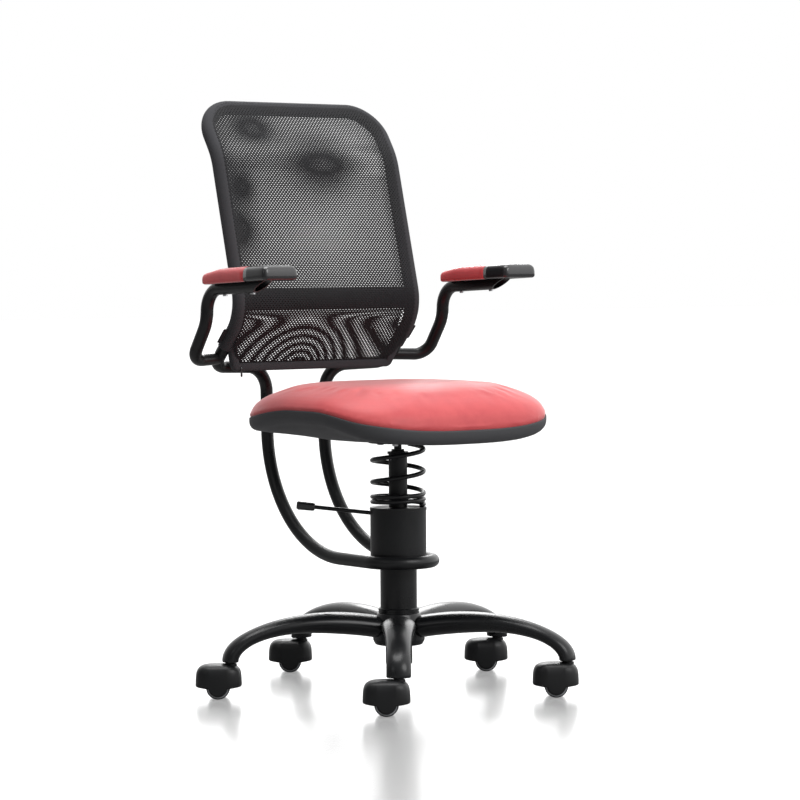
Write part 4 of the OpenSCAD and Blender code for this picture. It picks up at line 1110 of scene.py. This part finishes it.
def net_tree() -> bpy.types.NodeTree:
    """Builds the node tree that makes a flat net, once."""
    if "six_sided_net" in bpy.data.node_groups:
        return bpy.data.node_groups["six_sided_net"]
    tree = bpy.data.node_groups.new("six_sided_net", "GeometryNodeTree")
    sockets = {"Pitch": ("NodeSocketFloat", 0.0046), "Columns": ("NodeSocketInt", 80),
               "Rows": ("NodeSocketInt", 100), "Hole Share": ("NodeSocketFloat", 0.7),
               "Thread Relief": ("NodeSocketFloat", 0.0004), "Low Edge": ("NodeSocketFloat", 0.0),
               "Side Edge": ("NodeSocketFloat", 0.18), "Top Edge": ("NodeSocketFloat", 0.2),
               "Corner": ("NodeSocketFloat", 0.06), "Side Band": ("NodeSocketFloat", 0.022),
               "Low Band": ("NodeSocketFloat", 0.03), "Low Close": ("NodeSocketFloat", 0.1),
               "Side Close": ("NodeSocketFloat", 0.45)}
    for name, (kind, value) in sockets.items():
        tree.interface.new_socket(name=name, in_out="INPUT", socket_type=kind).default_value = value
    tree.interface.new_socket(name="Net", in_out="OUTPUT", socket_type="NodeSocketGeometry")
    n = Nodes(tree)
    source = n.add("NodeGroupInput").outputs
    row_step = n.maths("MULTIPLY", source["Pitch"], ROW_SHARE)
    size_x = n.maths("MULTIPLY", n.maths("SUBTRACT", source["Columns"], 1.0), source["Pitch"])
    size_y = n.maths("MULTIPLY", n.maths("SUBTRACT", source["Rows"], 1.0), row_step)
    grid = n.add("GeometryNodeMeshGrid", {"Size X": size_x, "Size Y": size_y, "Vertices X": source["Columns"],
                                          "Vertices Y": source["Rows"]})
    spot = n.add("ShaderNodeSeparateXYZ", {0: n.add("GeometryNodeInputPosition").outputs[0]})
    height = n.maths("ADD", spot.outputs["Y"], n.maths("MULTIPLY", size_y, 0.5))
    odd = n.maths("MODULO", n.maths("ROUND", n.maths("DIVIDE", height, row_step)), 2.0)
    half_cell = n.maths("MULTIPLY", source["Pitch"], 0.5)
    stagger = n.add("ShaderNodeCombineXYZ", {0: n.maths("MULTIPLY", odd, half_cell)})
    shifted = n.add("GeometryNodeSetPosition", {"Geometry": grid.outputs[0], "Offset": stagger.outputs[0]})
    thirds = n.add("GeometryNodeTriangulate", {0: shifted.outputs[0]}, quad_method="SHORTEST_DIAGONAL")
    cells = n.add("GeometryNodeDualMesh", {0: thirds.outputs[0]})
    depth = n.maths("MULTIPLY", source["Thread Relief"], -1.0)
    pushed = n.add("GeometryNodeExtrudeMesh", {"Mesh": cells.outputs[0], "Individual": True,
                                               "Offset Scale": depth}, mode="FACES")
    here = n.add("ShaderNodeSeparateXYZ", {0: n.add("GeometryNodeInputPosition").outputs[0]}).outputs
    low = n.add("ShaderNodeMapRange", {"Value": n.maths("SUBTRACT", source["Low Edge"], here["Y"]),
                                       "From Max": source["Low Band"], "To Max": source["Low Close"]})
    reach = [n.maths("MAXIMUM", n.maths("ADD", n.maths("SUBTRACT", at, source[edge]), source["Corner"]), 0.0)
             for at, edge in ((n.maths("ABSOLUTE", here["X"]), "Side Edge"), (here["Y"], "Top Edge"))]
    away = n.maths("SQRT", n.maths("ADD", n.maths("POWER", reach[0], 2.0), n.maths("POWER", reach[1], 2.0)))
    side = n.add("ShaderNodeMapRange", {"Value": n.maths("SUBTRACT", source["Corner"], away),
                                        "From Min": source["Side Band"], "From Max": 0.0,
                                        "To Max": source["Side Close"]})
    closed = n.maths("MULTIPLY", n.maths("SUBTRACT", 1.0, low.outputs[0]),
                     n.maths("SUBTRACT", 1.0, side.outputs[0]))
    shrunk = n.add("GeometryNodeScaleElements", {"Geometry": pushed.outputs["Mesh"],
                                                 "Selection": pushed.outputs["Top"],
                                                 "Scale": n.maths("MULTIPLY", source["Hole Share"], closed)})
    holes = n.add("GeometryNodeDeleteGeometry", {"Geometry": shrunk.outputs[0],
                                                 "Selection": pushed.outputs["Top"]}, domain="FACE")
    real = n.add("GeometryNodeRealizeInstances", {0: holes.outputs[0]})
    dressed = n.add("GeometryNodeSetMaterial", {"Geometry": real.outputs[0], "Material": NET.material()})
    n.add("NodeGroupOutput", {0: dressed.outputs[0]})
    return tree


@dataclass
class Seat:
    """Padded seat: lower shell with a thin lip, and a crowned cushion."""

    half_w: float = 0.225
    half_d: float = 0.206
    crest_z: float = 0.528
    rim_rear: float = 0.465
    rim_side: float = 0.487
    rim_front: float = 0.454
    corner_lift: float = 0.69
    drop_y: float = 0.061
    drop_l: float = 0.106
    side_h: float = 0.0245
    wall: float = 0.0025
    floor_t: float = 0.0024
    pad_lift: float = 0.0135
    pad_gap: float = 0.0006
    held_rise: float = 0.006
    voxel: float = 0.005
    swell_most: float = 0.0018
    power: float = 3.8
    side_reach: float = 0.504
    corner_power: float = 2.8
    crown_powers: tuple[float, float] = (2.13, 0.435)
    floor_z: float = 0.4312
    sides: int = 160
    crown_reach: float = 0.146

    def rim(self, x: float, y: float) -> float:
        """Returns the rim's height at a place in plan."""
        reach = 2 * self.half_d * self.side_reach
        rise = (self.rim_side - self.rim_rear) * smooth((self.half_d - y) / reach)
        corner = 1 - self.corner_lift * min(1.0, abs(x) / self.half_w) ** self.corner_power
        drop = (self.rim_side - self.rim_front) * smooth((-y - self.drop_y) / self.drop_l) * corner
        return self.rim_rear + rise - drop

    def plan(self, a: float, inset: float) -> float:
        """Returns the outline's radius at angle a, drawn in by inset."""
        return ((abs(math.cos(a)) / (self.half_w - inset)) ** self.power
                + (abs(math.sin(a)) / (self.half_d - inset)) ** self.power) ** (-1 / self.power)

    def ring(self, inset: float, height: Callable[[float, float], float]) -> Ring:
        """Returns a ring drawn in by inset, at the height that a function of x and y gives."""
        ring = []
        for a in round_turn(self.sides):
            r = self.plan(a, inset)
            x, y = r * math.cos(a), r * math.sin(a)
            ring.append((x, y, height(x, y)))
        return ring

    def level(self, z: float) -> Callable[[float, float], float]:
        """Returns a flat height."""
        return lambda x, y: z

    def from_edge(self, up: float) -> Callable[[float, float], float]:
        """Returns a height measured from the shell's lower edge."""
        return lambda x, y: self.rim(x, y) - self.side_h + up

    def from_rim(self, up: float) -> Callable[[float, float], float]:
        """Returns a height measured from the rim."""
        return lambda x, y: self.rim(x, y) + up

    def slope(self, share: float, up: float) -> Callable[[float, float], float]:
        """Returns a height between the shell's floor and its lower edge."""
        return lambda x, y: self.floor_z + (self.rim(x, y) - self.side_h - self.floor_z) * share + up

    def to_crest(self, share: float) -> Callable[[float, float], float]:
        """Returns a height as a share of the way from the rim to the crest."""
        return lambda x, y: self.rim(x, y) + (self.crest_z - self.rim(x, y)) * share

    def shell(self) -> bpy.types.Object:
        """Builds the lower shell."""
        low, high = self.level(self.floor_z), self.level(self.floor_z + self.floor_t)
        rows = [(0.16, low), (0.112, low)]
        rows += [(i, self.slope(t, 0)) for i, t in ((0.08, 0.25), (0.05, 0.52), (0.032, 0.72), (0.022, 0.87))]
        rows += [(i, self.from_edge(up)) for i, up in (
            (0.0155, 0.0002), (0.0105, 0.0016), (0.0062, 0.0040), (0.0032, 0.0072), (0.0013, 0.0108),
            (0.0003, 0.0145))]
        rows += [(i, self.from_rim(up)) for i, up in (
            (0.0, -0.0042), (0.0, -0.0012), (0.0005, -0.0003), (0.0012, 0.0), (0.0022, -0.0004),
            (0.0026, -0.0016), (0.0027, -0.006))]
        rows += [(0.006, self.from_edge(0.0095)), (0.014, self.from_edge(0.0045)),
                 (0.04, self.slope(0.66, self.floor_t)), (0.112, high), (0.16, high)]
        return skin("seat_tray", [self.ring(inset, height) for inset, height in rows])

    def crown(self, inset: float) -> float:
        """Returns how far up from the rim to the crest the cushion is, at inset from its side."""
        first, second = self.crown_powers
        return (1 - (1 - min(1.0, inset / self.crown_reach)) ** first) ** second

    def cushion(self) -> bpy.types.Object:
        """Builds the cushion and lets a cloth simulation fill its cover."""
        side = self.wall + self.pad_gap
        floor = self.level(self.floor_z + self.pad_lift)
        rings = [self.ring(0.17, floor), self.ring(0.112, floor), self.ring(0.05, self.slope(0.62, 0.005)),
                 self.ring(0.02, self.from_edge(0.0065)), self.ring(side + 0.003, self.from_edge(0.0125)),
                 self.ring(side, self.from_rim(-0.003))]
        rings.append(self.ring(0.0012, self.to_crest(0.05)))
        for inset in (0.0006, 0.0010, 0.0022, 0.004, 0.0065, 0.010, 0.0145, 0.020, 0.027, 0.035, 0.044,
                      0.055, 0.068, 0.083, 0.1, 0.12, 0.146, 0.17, 0.19):
            rings.append(self.ring(inset, self.to_crest(self.crown(inset))))
        made = skin("seat_pad", rings)
        swell(made, lambda p: p.z < self.rim(p.x, p.y) + self.held_rise, self.voxel, self.swell_most)
        return made

    def build(self) -> None:
        """Builds and places the shell and the cushion."""
        place(self.shell(), Body.SEAT, SHELL, "seat_shell")
        pad = place(self.cushion(), Body.SEAT, RED_SEAT, "seat_cushion")


def swell(piece: bpy.types.Object, held: Callable[[Vector], bool], voxel: float, most: float,
          pressure: float = 4.0, frames: int = 20) -> None:
    """Fills a padded cover by cloth simulation, then smooths it.

    Args:
        piece: the closed cover, changed in place.
        held: tells which points the frame holds still.
        voxel: size of the cloth's cells.
        most: the furthest that a point may move.
        pressure: force that fills the cover.
        frames: length of the simulation.
    """
    scene = bpy.context.scene
    bpy.context.view_layer.objects.active = piece
    remesh = piece.modifiers.new("cells", "REMESH")
    remesh.mode, remesh.voxel_size, remesh.use_smooth_shade = "VOXEL", voxel, True
    set_mesh(piece)
    before = np.array([v.co for v in piece.data.vertices], float)
    pins = piece.vertex_groups.new(name="held")
    pins.add([v.index for v in piece.data.vertices if held(v.co)], 1.0, "REPLACE")
    cloth = piece.modifiers.new("cover", "CLOTH")
    cloth.settings.use_pressure = True
    cloth.settings.uniform_pressure_force = pressure
    cloth.settings.vertex_group_mass = "held"
    cloth.settings.quality = 5
    cloth.settings.effector_weights.gravity = 0.0
    cloth.point_cache.frame_end = frames
    for step in range(1, frames + 1):
        scene.frame_set(step)
    set_mesh(piece)
    after = np.array([v.co for v in piece.data.vertices], float)
    scene.frame_set(1)
    move = after - before
    size = np.linalg.norm(move, axis=1)[:, None]
    capped = before + move * np.minimum(1, most / np.maximum(size, 1e-9))
    piece.data.vertices.foreach_set("co", capped.astype(np.float32).ravel())
    piece.data.update()
    finer = piece.modifiers.new("finer", "SUBSURF")
    finer.levels = finer.render_levels = 1
    set_mesh(piece)
    piece.data.polygons.foreach_set("use_smooth", [True] * len(piece.data.polygons))


def set_mesh(piece: bpy.types.Object) -> None:
    """Applies a piece's modifiers to its mesh."""
    evaluated = piece.evaluated_get(bpy.context.evaluated_depsgraph_get())
    mesh = bpy.data.meshes.new_from_object(evaluated)
    piece.modifiers.clear()
    piece.data = mesh


@dataclass
class Arms:
    """Arm pads with their black front caps, one pair on each side."""

    arm_x: float = 0.255
    width: float = 0.070
    length: float = 0.192
    height: float = 0.026
    foot_z: float = 0.703
    rear_y: float = 0.168
    cap_l: float = 0.063
    cap_gap: float = 0.0004
    corner_r: float = 0.008
    dip: tuple[float, float] = (0.005, 0.045)
    slope: float = math.radians(2.4)
    hinge: tuple[float, float] = (0.014, 0.696)
    corner_steps: int = 8
    edge_steps: int = 16

    def tipped(self, x: float, y: float, z: float) -> Point:
        """Returns a point of the level pad tipped back as the arm is."""
        dy, dz = y - self.hinge[0], z - self.hinge[1]
        c, s = math.cos(self.slope), math.sin(self.slope)
        return (x, self.hinge[0] + dy * c + dz * s, self.hinge[1] - dy * s + dz * c)

    def plan(self, inset: float) -> list[tuple[float, float]]:
        """Returns the pad's rounded outline in plan, drawn in by inset."""
        r = self.corner_r
        hx, hy = self.width / 2 - inset - r, self.length / 2 - inset - r
        spots = []
        for q, (sx, sy) in enumerate(((1, 1), (-1, 1), (-1, -1), (1, -1))):
            for k in range(self.corner_steps + 1):
                a = math.pi / 2 * (q + k / self.corner_steps)
                spots.append((hx * sx + r * math.cos(a), hy * sy + r * math.sin(a)))
            ahead = ((-1, 1), (-1, -1), (1, -1), (1, 1))[q]
            start = spots[-1]
            a = math.pi / 2 * (q + 1)
            end = (hx * ahead[0] + r * math.cos(a), hy * ahead[1] + r * math.sin(a))
            for k in range(1, self.edge_steps):
                t = k / self.edge_steps
                spots.append((start[0] + (end[0] - start[0]) * t, start[1] + (end[1] - start[1]) * t))
        return spots

    def ring(self, sign: int, inset: float, rise: float) -> Ring:
        """Returns one ring of a pad, on the sitter's right for -1 and left for 1."""
        mid_y = self.rear_y - self.length / 2
        rear = self.length / 2 - inset - self.dip[1]
        ring = []
        for dx, dy in self.plan(inset):
            sink = self.dip[0] * rise / self.height * smooth((dy - rear) / self.dip[1])
            ring.append(self.tipped(sign * self.arm_x + dx, mid_y + dy, self.foot_z + rise - sink))
        return ring

    def whole(self, name: str, sign: int) -> bpy.types.Object:
        """Builds the pad's full form before it is parted."""
        h = self.height
        rings = [self.ring(sign, i, z) for i, z in (
            (0.012, 0.0074), (0.0055, 0.0072), (0.0048, 0.0), (0.0016, 0.0008), (0.0004, 0.0026),
            (0.0, 0.006), (0.0, 0.4 * h), (0.0003, 0.55 * h), (0.001, 0.68 * h), (0.0025, 0.79 * h),
            (0.005, 0.88 * h), (0.009, 0.945 * h), (0.014, 0.98 * h), (0.02, 0.995 * h), (0.0265, h))]
        return skin(name, rings)

    def part(self, piece: bpy.types.Object, cut_y: float, keep_rear: bool) -> None:
        """Cuts a pad across at cut_y and closes the cut."""
        bm = bmesh.new()
        bm.from_mesh(piece.data)
        way = Vector((0, math.cos(self.slope), -math.sin(self.slope))) * (-1 if keep_rear else 1)
        cut = bmesh.ops.bisect_plane(bm, geom=bm.verts[:] + bm.edges[:] + bm.faces[:], plane_no=way,
                                     plane_co=self.tipped(0, cut_y, self.foot_z), clear_outer=True)
        edges = [e for e in cut["geom_cut"] if isinstance(e, bmesh.types.BMEdge)]
        bmesh.ops.contextual_create(bm, geom=edges)
        bm.to_mesh(piece.data)
        bm.free()
        piece.data.polygons.foreach_set("use_smooth", [True] * len(piece.data.polygons))

    def build(self) -> None:
        """Builds and places the pads and caps of both arms."""
        split = self.rear_y - self.length + self.cap_l
        for side, sign in (("right", -1), ("left", 1)):
            pad = self.whole(f"pad_{side}", sign)
            self.part(pad, split + self.cap_gap / 2, keep_rear=True)
            cap = self.whole(f"pad_cap_{side}", sign)
            self.part(cap, split - self.cap_gap / 2, keep_rear=False)
            place(pad, Body.FRAME, RED_PAD, f"arm_pad_{side}")
            place(cap, Body.FRAME, CAP, f"arm_cap_{side}")


CAD_FINISHES = {
    GLOSS_BASE: ["hub_collar"],
    STEEL: ["castor_sockets", "thrust_bearing", "piston_rod", "valve_pin", "taper_block", "arm_screws",
            "lever_pivot", "joint_cross", "seat_bolts"],
    BUSH: ["guide_bush"],
    PAINT: ["column_tube", "gas_tube", "lift_housing", "housing_top_plate", "guide_tube", "frame_tube",
            "back_frame", "arm_tube_right", "arm_tube_left", "lever_rod", "seat_rod", "seat_plate"],
    CAP: ["arm_board_right", "arm_board_left", "lever_grip"],
    BOARD: ["seat_board"],
}


@dataclass(frozen=True)
class Viewpoint:
    """The photograph's camera."""

    distance: float = 5.2
    eye_z: float = 0.733
    focal_px: float = 3042.0
    horizon_px: float = 262.0
    axis_px: float = 397.5
    roll: float = math.radians(0.34)
    frame_px: float = 800.0
    sensor: float = 36.0
    ahead: tuple[float, float] = (0.6, 0.8)

    def build(self) -> None:
        """Makes the camera and sets it as the scene's."""
        flat = np.array([*self.ahead, 0.0])
        right = np.array([self.ahead[1], -self.ahead[0], 0.0])
        yaw = (self.frame_px / 2 - self.axis_px) / self.focal_px
        pitch = (self.frame_px / 2 - self.horizon_px) / self.focal_px
        way = unit(flat + right * yaw - np.array([0, 0, 1.0]) * pitch)
        right = unit(np.cross(way, [0, 0, 1.0]))
        up = np.cross(right, way)
        tilted_right = right * math.cos(self.roll) - up * math.sin(self.roll)
        tilted_up = up * math.cos(self.roll) + right * math.sin(self.roll)
        data = bpy.data.cameras.new("camera")
        data.sensor_width = self.sensor
        data.lens = self.focal_px * self.sensor / self.frame_px
        data.clip_end = 60.0
        camera = bpy.data.objects.new("camera", data)
        bpy.context.scene.collection.objects.link(camera)
        place_at = -flat * self.distance + np.array([0, 0, self.eye_z])
        camera.matrix_world = Matrix((
            (tilted_right[0], tilted_up[0], -way[0], place_at[0]),
            (tilted_right[1], tilted_up[1], -way[1], place_at[1]),
            (tilted_right[2], tilted_up[2], -way[2], place_at[2]),
            (0, 0, 0, 1)))
        bpy.context.scene.camera = camera


@dataclass
class Studio:
    """Pale floor, soft lamps and a white room.

    The floor's tones are what it shows of its lighting to the camera, to soft and to mirrored light.
    """

    floor_half: float = 30.0
    floor_tones: tuple[float, float, float] = (0.25, 0.4, 0.32)
    mirror_roughness: float = 0.2
    mirror_gain: float = 1.6
    mirror_most: float = 0.7
    sky: float = 0.5
    glint: float = 0.95
    dark_side: float = 0.2
    light_side: float = 2.0
    floor_lift: float = 1.5
    lamps: tuple[tuple[str, Point, float, float], ...] = (
        ("key_lamp", (0.5, -3.2, 2.6), 2.2, 62.0),
        ("top_lamp", (-0.2, 0.2, 3.4), 2.4, 84.0),
        ("side_lamp", (-3.0, -0.6, 2.0), 1.0, 3.0),
        ("far_lamp", (1.9, 2.5, 2.1), 1.4, 40.0),
    )
    target: tuple[float, float, float] = (0.0, 0.0, 0.5)

    def build(self) -> None:
        """Makes the floor, the lamps and the world."""
        self.floor()
        for name, spot, size, power in self.lamps:
            data = bpy.data.lights.new(name, "AREA")
            data.shape, data.size, data.energy = "DISK", size, power
            lamp = bpy.data.objects.new(name, data)
            bpy.context.scene.collection.objects.link(lamp)
            aim = (Vector(self.target) - Vector(spot)).to_track_quat("-Z", "Y")
            lamp.matrix_world = Matrix.Translation(spot) @ aim.to_matrix().to_4x4()
        self.world()

    def floor(self) -> None:
        """Makes the floor, white to the camera but for the shadow and a faint reflection."""
        h = self.floor_half
        plane = mesh_object("floor", [(-h, -h, 0), (h, -h, 0), (h, h, 0), (-h, h, 0)], [(0, 1, 2, 3)])
        made = bpy.data.materials.new("pale_floor")
        made.use_nodes = True
        made.node_tree.nodes.clear()
        n = Nodes(made.node_tree)
        lit, pale, dim = (n.add("ShaderNodeBsdfDiffuse", {"Color": (tone, tone, tone, 1.0)}).outputs[0]
                          for tone in self.floor_tones)
        glow = n.add("ShaderNodeEmission", {"Color": (1, 1, 1, 1), "Strength": 1.0})
        both = n.add("ShaderNodeAddShader", {0: lit, 1: glow.outputs[0]})
        rays = n.add("ShaderNodeLightPath").outputs
        plain = n.add("ShaderNodeMixShader", {0: rays["Is Glossy Ray"], 1: pale, 2: dim})
        seen = n.maths("MAXIMUM", rays["Is Camera Ray"], rays["Is Transmission Ray"])
        shown = n.add("ShaderNodeMixShader", {0: seen, 1: plain.outputs[0], 2: both.outputs[0]})
        way = n.add("ShaderNodeSeparateXYZ", {0: n.add("ShaderNodeNewGeometry").outputs["Incoming"]})
        ahead = n.maths("MULTIPLY", way.outputs["X"], -1.0)
        room = n.maths("MULTIPLY", self.side_share(n, ahead), self.glint)
        level = n.maths("DIVIDE", self.floor_lift, room)
        tint = n.add("ShaderNodeCombineColor", {0: level, 1: level, 2: level}).outputs[0]
        gloss = n.add("ShaderNodeBsdfGlossy", {"Color": tint, "Roughness": self.mirror_roughness})
        fresnel = n.add("ShaderNodeFresnel", {"IOR": 1.5}).outputs[0]
        facing = n.maths("MINIMUM", n.maths("MULTIPLY", fresnel, self.mirror_gain), self.mirror_most)
        share = n.maths("MULTIPLY", facing, rays["Is Camera Ray"])
        mixed = n.add("ShaderNodeMixShader", {0: share, 1: shown.outputs[0], 2: gloss.outputs[0]})
        n.add("ShaderNodeOutputMaterial", {"Surface": mixed.outputs[0]})
        plane.data.materials.append(made)
        plane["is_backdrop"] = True

    def side_share(self, n: Nodes, x: bpy.types.NodeSocket) -> bpy.types.NodeSocket:
        """Returns how bright the room is in the direction whose X part is given."""
        share = n.add("ShaderNodeMapRange", {"Value": x, "From Min": -1.0, "From Max": 1.0,
                                             "To Min": self.dark_side, "To Max": self.light_side},
                      interpolation_type="SMOOTHSTEP")
        return share.outputs[0]

    def world(self) -> None:
        """Makes a room that is white where it is seen and lights softly, more from the +X side."""
        world = bpy.data.worlds.new("white_room")
        world.use_nodes = True
        world.node_tree.nodes.clear()
        n = Nodes(world.node_tree)
        rays = n.add("ShaderNodeLightPath").outputs
        seen = n.maths("MAXIMUM", rays["Is Camera Ray"], rays["Is Transmission Ray"])
        way = n.add("ShaderNodeSeparateXYZ", {0: n.add("ShaderNodeTexCoord").outputs["Generated"]})
        bounced = n.maths("MULTIPLY", rays["Is Glossy Ray"], self.glint - self.sky)
        lit = n.maths("MULTIPLY", n.maths("ADD", self.sky, bounced), self.side_share(n, way.outputs["X"]))
        strength = n.maths("ADD", seen, n.maths("MULTIPLY", n.maths("SUBTRACT", 1.0, seen), lit))
        back = n.add("ShaderNodeBackground", {"Color": (1, 1, 1, 1), "Strength": strength})
        n.add("ShaderNodeOutputWorld", {"Surface": back.outputs[0]})
        bpy.context.scene.world = world


def corners(bounds: tuple[Vector, Vector]) -> list[list[float]]:
    """Returns a box's two corners as plain lists."""
    return [[round(float(x), 5) for x in corner] for corner in bounds]


def main() -> None:
    """Builds the whole scene around the frame."""
    logging.basicConfig(level=logging.INFO, format="%(name)s: %(message)s")
    cad_box = corners(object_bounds())
    bpy.context.scene.view_settings.view_transform = "Standard"
    Viewpoint().build()
    Studio().build()
    for finish, nodes in CAD_FINISHES.items():
        for name in nodes:
            dress(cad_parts[name], finish)
    Base().build()
    Castors().build()
    SeatSpring().build()
    Sleeve().build()
    Seat().build()
    Arms().build()
    {"cad": cad_box, "visual": corners(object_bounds())}


if __name__ == "__main__":
    main()
